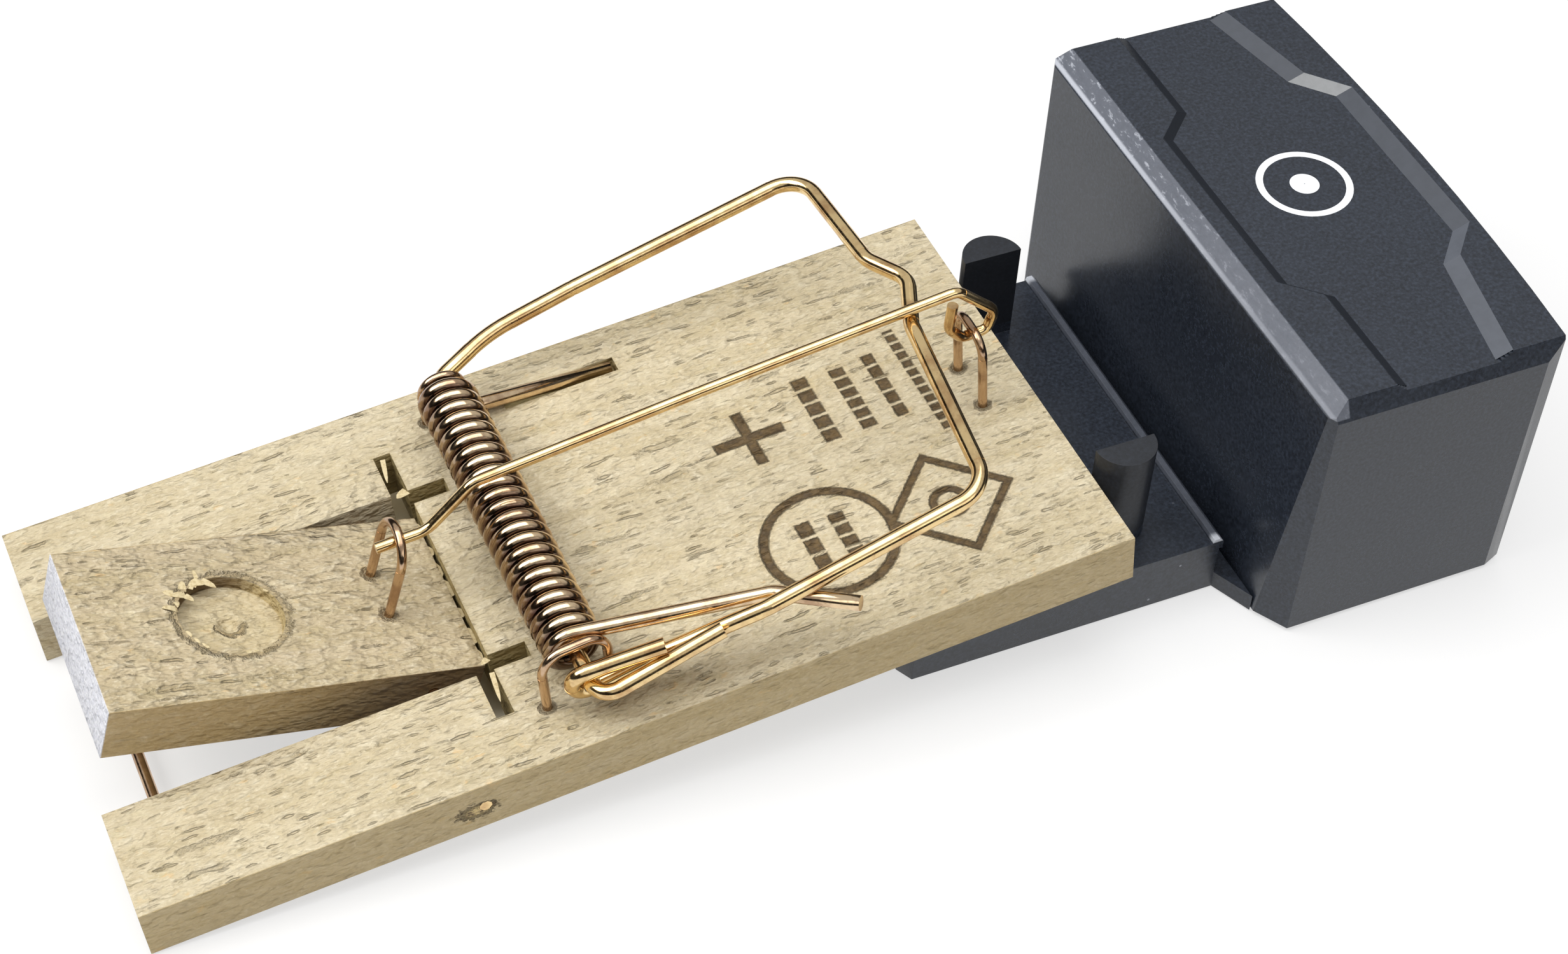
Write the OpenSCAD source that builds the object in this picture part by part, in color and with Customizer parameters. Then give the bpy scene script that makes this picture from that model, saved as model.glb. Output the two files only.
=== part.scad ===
// Snap mouse trap on a radio sensor unit, in millimetres.
// +X runs from the treadle end to the sensor housing, +Y to the back, +Z up.
// The origin is on the floor, under the middle of the whole object.
// The board stands on its treadle end and slopes up on to the dock of the sensor unit.

/* [Board] */
// Length of the wooden board
board_l = 98; // [90:1:110]
// Width of the wooden board
board_w = 48.5; // [46:0.5:56]
// Thickness of the wooden board
board_t = 5.8; // [5:0.2:8]
// Slope of the board, its sensor end up, in degrees
board_tilt = 6; // [4:0.5:8]

/* [Treadle] */
// Width of the notch between the two prongs of the board
notch_w = 24.4; // [20:0.2:28]
// Width of a saw cut along the board
kerf_w = 1.85; // [1:0.05:2.2]
// Width of the saw cut across the board
cross_kerf_w = 1.75; // [1:0.05:2.5]
// Length of the saw cut across the board
cross_kerf_l = 35.3; // [30:0.5:38]
// Distance that the saw cuts along the board run past the one across it
kerf_overrun = 3.7; // [2:0.1:5]
// Distance of the treadle's pivot from the end of the board
pivot_x = 32; // [30:0.5:34]
// Length of the treadle from its pivot to its free end
treadle_reach = 31.3; // [28:0.1:31.5]
// Length of the treadle behind its pivot
treadle_tail = 4.55; // [3.5:0.05:5.5]
// Angle of the treadle when the trap is set, in degrees
treadle_set = 20; // [16:1:22]
// Angle of the treadle when it lies on its stop wire, in degrees
treadle_down = 4; // [3:0.5:6]
// Diameter of the drilled bait well
bait_d = 10; // [8:0.5:12]
// Depth of the drilled bait well
bait_depth = 1.3; // [0.8:0.1:2]
// Distance of the bait well from the pivot
bait_x = 17; // [14:0.5:20]

/* [Wires] */
// Diameter of the hammer's wire
hammer_d = 1.6; // [1.4:0.05:1.8]
// Diameter of the spring's wire
spring_d = 1.5; // [1.3:0.05:1.6]
// Diameter of the trip wire
trip_d = 1.1; // [0.9:0.05:1.3]
// Diameter of the wire of all staples
staple_d = 0.95; // [0.8:0.05:1.1]
// Diameter of the treadle's pivot wire
pivot_d = 1.2; // [1:0.05:1.6]
// Diameter of the treadle's stop wire
stop_d = 1.15; // [1:0.05:1.5]

/* [Hammer] */
// Distance of the hammer's axle from the end of the board
axle_x = 44.4; // [43:0.2:46]
// Height of the axle's centre above the board
axle_rise = 4.1; // [3.9:0.1:5]
// Distance from the axle to the crossbar's back corner
hammer_l = 41.6; // [39:0.1:43]
// Distance between the middles of the hammer's two arms
hammer_w = 45.6; // [44:0.2:46.4]
// Distance that the hammer sits off the board's middle, to the back
hammer_shift = 1.2; // [0.8:0.1:1.4]
// Angle of the hammer above the board when it is set, in degrees
hammer_set = 10.9; // [10:0.1:13]
// Distance that the crossbar's kink stands out
kink_out = 3.25; // [2:0.05:4]
// Room above the axle under the front staple, more than under the back one
front_arch_room = 1.3; // [0.6:0.1:2]

/* [Spring] */
// Outer diameter of the spring's coil
coil_d = 6.1; // [5.8:0.1:6.6]
// Number of whole turns in the coil
coil_turns = 22; // [18:1:22]
// Gap between neighbouring turns of the coil
coil_gap = 0.055; // [0.03:0.005:0.08]
// Length of the spring's back leg, along the board
back_leg_l = 17.1; // [14:0.1:20]
// Length of the spring's front leg, along the board up to its bend
front_leg_l = 18.4; // [16:0.1:20]

/* [Trip wire] */
// Distance of the trip wire's staple from the end of the board
trip_x = 92.7; // [92.5:0.1:93.5]
// Height of the arch of the trip wire's staple above the board
trip_rise = 8.6; // [8:0.1:9]
// Height of the treadle staple's arch above the treadle
catch_rise = 8.4; // [8.2:0.1:9]
// Distance between the legs of the two narrow staples
narrow_staple_w = 5.5; // [5:0.1:7]

/* [Sensor unit] */
// Length of the board that lies over the dock
dock_lap = 21.85; // [20:0.05:22]
// Length of the dock that carries the board
dock_l = 34.3; // [30:0.1:36]
// Width of the dock
dock_w = 41.1; // [38:0.1:44]
// Height of the dock
dock_h = 6.5; // [5.5:0.1:6.8]
// Width of the gap between the dock and the housing
neck_l = 2.1; // [1.6:0.1:4]
// Width of the neck that joins the dock to the housing
neck_w = 28; // [20:1:34]
// Height of the neck
neck_h = 3.2; // [3:0.1:5]
// Height of the two clip posts behind the board
post_h = 18; // [17:0.5:20]
// Radius of the rounded side of a clip post
post_r = 3.2; // [2.5:0.1:3.6]
// Distance between the flat sides of the two clip posts
post_gap = 28.5; // [26:0.5:31]
// Length of the housing, along the board
housing_l = 27.3; // [27:0.1:32]
// Width of the housing, across the board
housing_w = 57.1; // [57:0.1:64]
// Bow of the housing's far side, at its middle
housing_bow = 1.3; // [0.5:0.1:2]
// Height of the housing
housing_h = 31; // [29:0.5:36]
// Wall thickness of the housing
wall = 1.8; // [1.6:0.1:2]
// Lean of the housing's wall towards the board, over its whole height
wall_lean = 1.4; // [0.8:0.1:1.6]
// Depth of the recess along the top of the housing
recess_depth = 0.7; // [0.4:0.1:0.9]

/* [Inner pieces] */
// Diameter of the battery cell
cell_d = 17; // [16:0.1:17]
// Room from each end of the battery cell to the side of the housing
cell_room = 11.85; // [11.5:0.05:13]
// Thickness of the circuit board
pcb_t = 1.2; // [1:0.1:1.6]
// Diameter of the screws' shanks
screw_d = 2; // [1.8:0.1:2.2]

/* [Hidden] */

// Facets of a wire's section, and of round plastic parts
wire_facets = 24;
round_facets = 48;
// Angle by which a bend runs into the straight wire at its ends
bend_lap = 4;
// How much a bend's section lies inside that of the straight wire
bend_inset = 0.02;
// Fits: a wire pressed into wood, one that turns in wood, loose plastic parts
press_gap = 0.02;
turn_gap = 0.06;
part_gap = 0.2;
// Gap between a moving wire and what it rests on
rest_gap = 0.12;
wood_gap = 0.25;
over = 1;

// ---- frames ----
low_x = -board_t * sin(board_tilt);
dock_x = board_l * cos(board_tilt) - dock_lap;
dock_end = dock_x + dock_l;
housing_x = dock_end + neck_l;
housing_end = housing_x + housing_l;
mid_x = (low_x + housing_end + housing_bow) / 2;

module on_floor() { translate([-mid_x, 0, 0]) children(); }
module on_board() { on_floor() rotate([0, -board_tilt, 0]) children(); }
module on_treadle() { on_board() translate([pivot_x, 0, board_t / 2]) rotate([0, treadle_set, 0]) children(); }
module on_hammer() { on_board() translate([axle_x, 0, axle_z]) rotate([0, -hammer_set, 0]) children(); }

// ---- wire work ----
function unit(v) = v / norm(v);

module rod(a, b, d) {
    v = b - a;
    translate(a)
        rotate([0, acos(v.z / norm(v)), atan2(v.y, v.x)])
            cylinder(h = norm(v), d = d, $fn = wire_facets);
}

// A bend from start towards finish about centre
module bend(start, centre, finish, turn, d) {
    u = unit(start - centre);
    n = unit(cross(start - centre, finish - centre));
    w = cross(n, u);
    multmatrix([[u.x, w.x, n.x, centre.x], [u.y, w.y, n.y, centre.y], [u.z, w.z, n.z, centre.z]])
        rotate([0, 0, -bend_lap])
            rotate_extrude(angle = turn + 2 * bend_lap, $fn = round_facets)
                translate([norm(start - centre), 0])
                    circle(d = d - 2 * bend_inset, $fn = wire_facets);
}

// A wire through corner points, each rounded to its own radius
module wire(points, radii, d) {
    last = len(points) - 1;
    corner = [for (i = [0:last]) (i == 0 || i == last) ? 180 :
        acos(unit(points[i - 1] - points[i]) * unit(points[i + 1] - points[i]))];
    cut = [for (i = [0:last]) (i == 0 || i == last) ? 0 : radii[i] / tan(corner[i] / 2)];
    for (i = [0:last - 1]) {
        v = unit(points[i + 1] - points[i]);
        rod(points[i] + v * cut[i], points[i + 1] - v * cut[i + 1], d);
    }
    for (i = [1:last - 1]) {
        u = unit(points[i - 1] - points[i]);
        v = unit(points[i + 1] - points[i]);
        centre = points[i] + unit(u + v) * radii[i] / sin(corner[i] / 2);
        bend(points[i] + u * cut[i], centre, points[i] + v * cut[i], 180 - corner[i], d);
    }
}

// A wire of sides facets swept along closely spaced points, its section set square to axis
function ring(p, tangent, axis, r, sides) =
    let (n = unit(axis - (axis * tangent) * tangent), m = cross(tangent, n))
    [for (k = [0:sides - 1]) p + r * cos(360 * k / sides) * n + r * sin(360 * k / sides) * m];

module swept_wire(path, axis, d, sides) {
    last = len(path) - 1;
    rings = [for (i = [0:last])
        ring(path[i], unit(path[min(i + 1, last)] - path[max(i - 1, 0)]), axis, d / 2, sides)];
    skin = [for (i = [0:last - 1]) for (k = [0:sides - 1])
        let (a = i * sides + k, b = i * sides + (k + 1) % sides)
        [a, a + sides, b + sides, b]];
    start_cap = [for (k = [0:sides - 1]) k];
    end_cap = [for (k = [sides - 1:-1:0]) last * sides + k];
    polyhedron(points = [for (r = rings) for (p = r) p],
        faces = concat([start_cap], skin, [end_cap]), convexity = 10);
}

// A staple: two legs down into the wood and an arch, from foot to foot
module staple(foot_a, foot_b, depth, arch_h, radii) {
    wire([foot_a - [0, 0, depth], foot_a + [0, 0, arch_h], foot_b + [0, 0, arch_h], foot_b - [0, 0, depth]],
        [0, radii[0], radii[1], 0], staple_d);
}

module staple_holes(foot_a, foot_b, depth) {
    for (foot = [foot_a, foot_b])
        translate(foot - [0, 0, depth + press_gap])
            cylinder(h = depth + over, d = staple_d + 2 * press_gap, $fn = wire_facets);
}

// ---- treadle and its cuts ----
treadle_w = notch_w - 2 * kerf_w - 2 * wood_gap;
cross_far = pivot_x + treadle_tail * cos(treadle_set) + board_t / 2 * sin(treadle_set) + 0.33;
cross_near = cross_far - cross_kerf_w;
stop_x = 4.9;
stop_z = board_t / 2 + (pivot_x - stop_x) * tan(treadle_down) - board_t / 2 / cos(treadle_down)
    - stop_d / 2 - part_gap;
stop_grip = 4.5;
leg_depth = 4;
treadle_leg_depth = 3.4;
catch_u = -2.3;
catch_y = 0.5;

// ---- hammer and spring ----
axle_z = board_t + axle_rise;
arm_back = hammer_shift + hammer_w / 2;
arm_front = hammer_shift - hammer_w / 2;
wrap = hammer_d + 0.06;
wrap_y = arm_front + 1.65;
axle_front_y = arm_front - 1.3;
axle_back_y = arm_back - 3.1;
axle_end_l = 12.7;
tail_l = 7.4;
coil_r = (coil_d - spring_d) / 2;
coil_pitch = spring_d + coil_gap;
coil_back = 18.5;
coil_steps = 16;
coil_sides = 8;
trip_y = 0.35;
// Corners of the crossbar's kink, then of its front end: distance from the axle, and y
bar_outer = [hammer_l + 0.9, trip_y + 9.45];
bar_peak = [hammer_l + kink_out, trip_y + 4.95];
bar_inner = [hammer_l + 1, trip_y - 0.55];
bar_front_l = hammer_l - 1.4;
// Where the trip wire crosses the crossbar: distance from the axle, then board coordinates
bar_s = bar_peak.x + (bar_inner.x - bar_peak.x) * (bar_peak.y - trip_y) / (bar_peak.y - bar_inner.y);
bar_x = axle_x + bar_s * cos(hammer_set);
bar_z = axle_z + bar_s * sin(hammer_set);
latch_z = bar_z + (hammer_d + trip_d) / 2 + rest_gap;
// The eye of the trip wire, about the arch of its staple
trip_z = board_t + trip_rise;
eye_under = (staple_d + trip_d) / 2 + 0.22;

// Staple feet on the top of the board or of the treadle
arch_rise = axle_rise + (hammer_d + staple_d) / 2 + part_gap;
front_staple_y = wrap_y + (hammer_d + staple_d) / 2 + part_gap;
back_staple_y = coil_back + (spring_d + staple_d) / 2 + part_gap;
front_feet = [[axle_x - 3.9, front_staple_y, board_t], [axle_x + 2.6, front_staple_y + 0.3, board_t]];
back_feet = [for (s = [-1, 1]) [axle_x + s * 2.1, back_staple_y, board_t]];
trip_feet = [for (s = [-1, 1]) [trip_x, catch_y - 0.2 + s * narrow_staple_w / 2, board_t]];
catch_feet = [for (s = [-1, 1]) [catch_u, catch_y + s * narrow_staple_w / 2, board_t / 2]];

// Groove in the board for the spring's back leg
back_leg_end = [axle_x + back_leg_l, coil_back + 0.6, board_t - 0.55];
groove_w = spring_d + 0.4;
groove_x = axle_x + 5.6;
groove_end = back_leg_end.x + 0.6;
groove_z = back_leg_end.z - spring_d / 2 - 0.15;

// Screws that hold the board on its seat
board_screw_x = dock_x + 14;
board_screw_y = 12;
board_screw_l = 9;

module board() {
    color("wheat") on_board() difference() {
        translate([0, -board_w / 2, 0]) cube([board_l, board_w, board_t]);
        // Notch, and the saw cuts that freed the treadle
        translate([-over, -notch_w / 2, -over]) cube([cross_near + over + 0.01, notch_w, board_t + 2 * over]);
        translate([cross_near, -cross_kerf_l / 2, -over]) cube([cross_kerf_w, cross_kerf_l, board_t + 2 * over]);
        for (side = [-1, 1])
            translate([cross_near, side * (notch_w - kerf_w) / 2 - kerf_w / 2, -over])
                cube([cross_kerf_w + kerf_overrun, kerf_w, board_t + 2 * over]);
        // Holes of the pivot wire and the stop wire
        translate([pivot_x, 0, board_t / 2]) rotate([90, 0, 0])
            cylinder(h = board_w + 2 * over, d = pivot_d + 2 * press_gap, center = true, $fn = wire_facets);
        translate([stop_x, 0, stop_z]) rotate([90, 0, 0])
            cylinder(h = notch_w + 2 * stop_grip + part_gap, d = stop_d + 2 * press_gap, center = true,
                $fn = wire_facets);
        // Holes of the staples
        staple_holes(front_feet[0], front_feet[1], leg_depth);
        staple_holes(back_feet[0], back_feet[1], leg_depth);
        staple_holes(trip_feet[0], trip_feet[1], leg_depth);
        // Groove of the spring's back leg
        translate([groove_x, back_leg_end.y - groove_w / 2 - 0.1, groove_z])
            cube([groove_end - groove_x, groove_w, board_t]);
        // Pilot holes of the two screws from the dock
        for (side = [-1, 1]) board_screw_pose(side)
            cylinder(h = board_screw_l + part_gap, d = screw_d + 2 * press_gap, $fn = wire_facets);
    }
}

module treadle() {
    color("burlywood") on_treadle() difference() {
        translate([-treadle_reach, -treadle_w / 2, -board_t / 2])
            cube([treadle_reach + treadle_tail, treadle_w, board_t]);
        rotate([90, 0, 0])
            cylinder(h = treadle_w + 2 * over, d = pivot_d + 2 * turn_gap, center = true, $fn = wire_facets);
        // Bait well, with the dimple left by the point of the drill
        translate([-bait_x, 0, board_t / 2 - bait_depth])
            cylinder(h = bait_depth + over, d = bait_d, $fn = round_facets);
        translate([-bait_x, 0, board_t / 2 - bait_depth - 0.7])
            cylinder(h = 0.71, d1 = 0.4, d2 = 2.6, $fn = round_facets);
        staple_holes(catch_feet[0], catch_feet[1], treadle_leg_depth);
    }
}

module treadle_pivot_wire() {
    color("peru") on_board() translate([pivot_x, 0, board_t / 2]) rotate([90, 0, 0])
        cylinder(h = board_w - 1.8, d = pivot_d, center = true, $fn = wire_facets);
}

module stop_wire() {
    color("peru") on_board() translate([stop_x, 0, stop_z]) rotate([90, 0, 0])
        cylinder(h = notch_w + 2 * stop_grip, d = stop_d, center = true, $fn = wire_facets);
}

module treadle_staple() {
    arch_r = narrow_staple_w / 2 - 0.05;
    color("peru") on_treadle()
        staple(catch_feet[0], catch_feet[1], treadle_leg_depth, catch_rise, [arch_r, arch_r]);
}

module trip_wire_staple() {
    color("peru") on_board() staple(trip_feet[0], trip_feet[1], leg_depth, trip_rise, [2, 2]);
}

module axle_staple_front() {
    color("peru") on_board()
        staple(front_feet[0], front_feet[1], leg_depth, arch_rise + front_arch_room, [2.4, 2]);
}

module axle_staple_back() {
    color("peru") on_board() staple(back_feet[0], back_feet[1], leg_depth, arch_rise, [2, 2]);
}

// One wire: the axle, its bent front end, the back arm, the crossbar with its kink,
// and the front arm, which wraps round the axle and ends in a short tail
module hammer() {
    color("peru") on_hammer() wire([
        [axle_end_l, axle_front_y + 0.4, 0.5],
        [0, axle_front_y, 0],
        [0, axle_back_y, 0],
        [6.5, arm_back - 0.4, 0],
        [16, arm_back, 0],
        [hammer_l, arm_back, 0],
        [bar_outer.x, bar_outer.y, 0],
        [bar_peak.x, bar_peak.y, 0],
        [bar_inner.x, bar_inner.y, 0],
        [bar_front_l, arm_front, 0],
        [17, arm_front - 0.6, 0],
        [5.5, wrap_y, -wrap],
        [-wrap, wrap_y, -wrap],
        [-wrap, wrap_y - 0.45, wrap],
        [tail_l, wrap_y - 2.05, wrap]],
        [0, 2, 1.6, 14, 8, 3.5, 4, 2.6, 3, 3.5, 4, 3, wrap - 0.08, wrap - 0.08, 0], hammer_d);
}

module torsion_spring() {
    front_y = coil_back - (coil_turns + 0.5) * coil_pitch;
    steps = floor((coil_turns + 0.5) * coil_steps);
    helix = [for (i = [0:steps]) let (a = -90 - 360 * i / coil_steps)
        [axle_x + coil_r * cos(a), coil_back - i * coil_pitch / coil_steps, axle_z + coil_r * sin(a)]];
    // The front leg runs under the front arm and is bent outwards below it
    arm_under = (hammer_d + spring_d) / 2 + rest_gap;
    leg_x = axle_x + front_leg_l;
    hook = [leg_x + 6.4, arm_front - 3.6];
    under_x = leg_x + (hook.x - leg_x) * 0.45;
    under_z = axle_z + (under_x - axle_x) * tan(hammer_set) - arm_under / cos(hammer_set);
    hook_slope = tan(hammer_set) - 0.06;
    leg = [leg_x, arm_front + 1.7, under_z - (under_x - leg_x) * hook_slope];
    front = [leg, [hook.x, hook.y, under_z + (hook.x - under_x) * hook_slope]];
    color("peru") on_board() swept_wire(concat(
        [back_leg_end, back_leg_end + 0.5 * ([axle_x, coil_back, axle_z - coil_r] - back_leg_end)],
        helix,
        [[axle_x, front_y, axle_z + coil_r] * 0.06 + front[0] * 0.94, front[0] * 0.96 + front[1] * 0.04,
            front[1]]),
        [0, 1, 0], spring_d, coil_sides);
}

module trip_wire() {
    slope = 0.044;
    color("peru") on_board() translate([0, trip_y, 0]) wire([
        [pivot_x - 0.6, 0, catch_under],
        [pivot_x + 4.4, 0, catch_under],
        [pivot_x + 9.6, 0, latch_z - 2.3],
        [pivot_x + 32.5, 0, latch_z + (pivot_x + 32.5 - bar_x) * slope],
        [trip_x - 1.3, 0, latch_z + (trip_x - 1.3 - bar_x) * slope],
        [trip_x + 2.7, 0, trip_z + 1],
        [trip_x + 1.8, 0, trip_z - eye_under],
        [trip_x - 0.9, 0, trip_z - eye_under],
        [trip_x - 2.3, 0, trip_z + 0.6],
        [trip_x - 1.8, 0, trip_z + 3.6]],
        [0, 2.5, 2.5, 20, 1.6, 1.3, 1, 1, 1.3, 0], trip_d);
}
// The trip wire's tip lies under the arch of the treadle's staple
catch_z = board_t / 2 - catch_u * sin(treadle_set) + (board_t / 2 + catch_rise) * cos(treadle_set);
catch_under = catch_z - (staple_d + trip_d) / 2 - 0.3;

// ---- sensor unit ----
floor_t = 2;
chamfer = 2;
lid_chamfer = 1.8;
corner_x = 2;
corner_y = 3.3;
inner_gap = 0.15;

// Outline of the housing seen from above, its corners cut and its far side bowed, brought in by inset
module housing_outline(inset) {
    a = housing_x + inset;
    b = housing_end - inset;
    w = housing_w / 2 - inset;
    far_side = [for (t = [-1:0.25:1]) [b + housing_bow * (1 - t * t), t * (w - 0.8)]];
    polygon(concat([[a + corner_x, -w], [b - corner_x, -w]], far_side,
        [[b - corner_x, w], [a + corner_x, w], [a, w - corner_y], [a, -w + corner_y]]));
}

// The housing's outer form up to height top: cut corners, a leaning wall and chamfered top edges
module housing_form(inset, top) {
    a = housing_x + inset;
    b = housing_end + housing_bow + over;
    w = housing_w / 2 - inset;
    intersection() {
        linear_extrude(height = top) housing_outline(inset);
        translate([0, housing_w, 0]) rotate([90, 0, 0]) linear_extrude(height = 2 * housing_w)
            polygon([[a, 0], [b, 0], [b, top], [a + wall_lean + lid_chamfer, top],
                [a + wall_lean, top - lid_chamfer]]);
        translate([a - over, 0, 0]) rotate([90, 0, 90]) linear_extrude(height = b - a + over)
            polygon([[-w, 0], [w, 0], [w, top - chamfer], [w - 1, top], [-w + 1, top], [-w, top - chamfer]]);
    }
}

// Recess along the top of the housing, with jogged and sloped sides
recess_left = 6.1;
recess_right = 7.6;
recess_jog = 3.4;

// Its outline at a height: 0 is its floor, 1 is its rim
function recess_outline(height) =
    let (l = housing_x + recess_left - 0.9 * height, r = housing_end - recess_right + 1.3 * height,
        end = housing_w / 2 + over, waist = 3, wide = waist + 3.5)
    [[l + recess_jog, -end], [r, -end], [r + waist, -14.2], [r + wide, -10.4], [r + wide, 11.8],
        [r + waist, 15.6], [r, end], [l + recess_jog, end], [l + recess_jog, 14.8], [l, 11.5],
        [l, -11.2], [l + recess_jog, -14.4]];

module recess() {
    steps = 4;
    for (step = [0:steps - 1])
        translate([0, 0, housing_h - recess_depth * (1 - step / steps)])
            linear_extrude(height = recess_depth + over)
                polygon(recess_outline(step / (steps - 1)));
}

// Middle of the housing, where the cell lies
screw_x = housing_x + housing_l / 2 + 0.15;
cell_l = housing_w - 2 * cell_room;
wall_to_screw = 5.5;
screw_y = housing_w / 2 - wall_to_screw;
cell_z = floor_t + 0.9 + cell_d / 2;
pcb_z = cell_z + cell_d / 2 + 1.2;
pcb_x = housing_x + wall + 2.4;
pcb_l = housing_l - 2 * wall - 3.2;
pcb_w = housing_w - 2 * wall - 1.6;
boss_d = 5;
post_d = 4;
head_d = 3.4;
head_h = 1.4;
head_z = 12;
part_room = housing_h - wall - recess_depth - pcb_z - pcb_t;
screw_tip = pcb_z + pcb_t + 0.7 * part_room;
door_l = cell_d + 1.4;
door_w = cell_l + 3.2;
// Inner faces of the battery bay's end walls, and the parts of the contacts against them
bay_front_y = -cell_l / 2 - 2.5;
bay_back_y = cell_l / 2 + 1.65;
bay_wall = 1.2;
leaf_t = 0.35;
leaf_w = 10;
leaf_gap = 0.05;

module housing_cover() {
    color("dimgray") on_floor() difference() {
        union() {
            difference() {
                housing_form(0, housing_h);
                translate([0, 0, -over]) housing_form(wall, housing_h - wall - recess_depth + over);
            }
            // Posts that the case screws bite into
            for (side = [-1, 1])
                translate([screw_x, side * screw_y, pcb_z + pcb_t + inner_gap])
                    cylinder(h = part_room, d = post_d, $fn = round_facets);
        }
        recess();
        // Cut-out that the neck of the base comes through
        translate([housing_x - over, -neck_w / 2 - part_gap, -over])
            cube([wall + wall_lean + 2 * over, neck_w + 2 * part_gap, neck_h + part_gap + over]);
        // The rim stays clear of the floor that the base stands on
        translate([housing_x - over, -housing_w, -over]) cube([housing_l + 3 * over, 2 * housing_w, over + 0.3]);
        for (side = [-1, 1])
            translate([screw_x, side * screw_y, 0])
                cylinder(h = screw_tip + part_gap, d = screw_d + 2 * press_gap, $fn = wire_facets);
    }
}

// Underside of the board in floor coordinates
function seat_z(x) = x * tan(board_tilt);

module board_screw_pose(side) {
    translate([board_screw_x / cos(board_tilt) - 0.2, side * board_screw_y, -4.5]) children();
}

module sensor_base() {
    base_a = housing_x + wall + inner_gap;
    base_b = housing_end - wall - inner_gap;
    dock_wall = 2;
    rib_w = 2;
    color("dimgray") on_floor() difference() {
        union() {
            // Dock, with its two free corners cut
            linear_extrude(height = dock_h)
                polygon([[dock_x, -dock_w / 2 + 1.7], [dock_x + 0.9, -dock_w / 2], [dock_end, -dock_w / 2],
                    [dock_end, dock_w / 2], [dock_x + 0.9, dock_w / 2], [dock_x, dock_w / 2 - 1.7]]);
            // Ridge along the end of the dock
            translate([dock_end, dock_w / 2, 0]) rotate([90, 0, 0]) linear_extrude(height = dock_w)
                polygon([[-1.1, dock_h - 0.5], [-0.7, dock_h + 0.5], [-0.1, dock_h + 0.5], [0.4, dock_h],
                    [0.4, dock_h - 1]]);
            // Sloped ribs that the board lies on
            for (y = [-dock_w / 2 + 4, -board_screw_y, 0, board_screw_y, dock_w / 2 - 4])
                translate([0, y + rib_w / 2, 0]) rotate([90, 0, 0]) linear_extrude(height = rib_w)
                    polygon([[dock_x + 2, dock_h - 0.5], [board_l * cos(board_tilt) - 1, dock_h - 0.5],
                        [board_l * cos(board_tilt) - 1, seat_z(board_l * cos(board_tilt) - 1) - 0.05],
                        [dock_x + 2, seat_z(dock_x + 2) - 0.05]]);
            // Clip posts, flat towards the middle and round outside
            for (side = [-1, 1]) intersection() {
                translate([board_l * cos(board_tilt) + part_gap + post_r, side * post_gap / 2, 0])
                    cylinder(h = post_h, r = post_r, $fn = round_facets);
                translate([dock_x, side > 0 ? post_gap / 2 : -post_gap / 2 - 2 * post_r, 0])
                    cube([dock_l, 2 * post_r, post_h + over]);
            }
            // Neck, with the floor plate that widens to the housing
            translate([dock_end - over, -neck_w / 2, 0]) cube([neck_l + wall + 3, neck_w, neck_h]);
            linear_extrude(height = floor_t)
                polygon([[dock_end - over, -dock_w / 2], [dock_end, -dock_w / 2],
                    [housing_x - 0.1, -housing_w / 2 + corner_y + 0.4],
                    [housing_x - 0.1, housing_w / 2 - corner_y - 0.4],
                    [dock_end, dock_w / 2], [dock_end - over, dock_w / 2]]);
            // Floor of the housing, the bosses under the circuit board and the ends of the battery bay
            linear_extrude(height = floor_t) housing_outline(wall + inner_gap);
            for (side = [-1, 1])
                translate([screw_x, side * screw_y, 0])
                    cylinder(h = pcb_z - inner_gap, d = boss_d, $fn = round_facets);
            for (y = [bay_front_y - bay_wall, bay_back_y])
                translate([base_a + 1.6, y, 0]) cube([base_b - base_a - 3.2, bay_wall, cell_z + 2]);
        }
        // The dock is a shell, open below
        difference() {
            translate([dock_x + dock_wall, -dock_w / 2 + dock_wall, -over])
                cube([dock_l - 2 * dock_wall, dock_w - 2 * dock_wall, dock_h - dock_wall + over]);
            for (y = [-board_screw_y, board_screw_y])
                translate([dock_x, y - rib_w / 2, -over]) cube([dock_l, rib_w, dock_h + over]);
            for (side = [-1, 1])
                translate([board_screw_x, side * board_screw_y, -over])
                    cylinder(h = dock_h + over, d = 7, $fn = round_facets);
        }
        // Battery opening
        translate([screw_x - door_l / 2, -door_w / 2, -over]) cube([door_l, door_w, floor_t + 2 * over]);
        // Screw holes
        for (side = [-1, 1]) {
            translate([screw_x, side * screw_y, -over])
                cylinder(h = pcb_z + 2 * over, d = screw_d + 0.3, $fn = wire_facets);
            translate([screw_x, side * screw_y, -over])
                cylinder(h = head_z + head_h + 0.05 + over, d = head_d + 0.4, $fn = wire_facets);
            rotate([0, -board_tilt, 0]) board_screw_pose(side) {
                translate([0, 0, -2]) cylinder(h = 10, d = screw_d + 0.3, $fn = wire_facets);
                translate([0, 0, -20]) cylinder(h = 20 + head_h + 0.05, d = head_d + 0.4, $fn = wire_facets);
            }
        }
    }
}

module battery_door() {
    color("dimgray") on_floor() difference() {
        translate([screw_x - door_l / 2 + part_gap, -door_w / 2 + part_gap, 0.2])
            cube([door_l - 2 * part_gap, door_w - 2 * part_gap, floor_t - 0.2]);
        // Finger groove
        translate([screw_x, door_w / 2 - 6, 0]) rotate([0, 90, 0])
            cylinder(h = 8, d = 1.6, center = true, $fn = wire_facets);
    }
}

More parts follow.
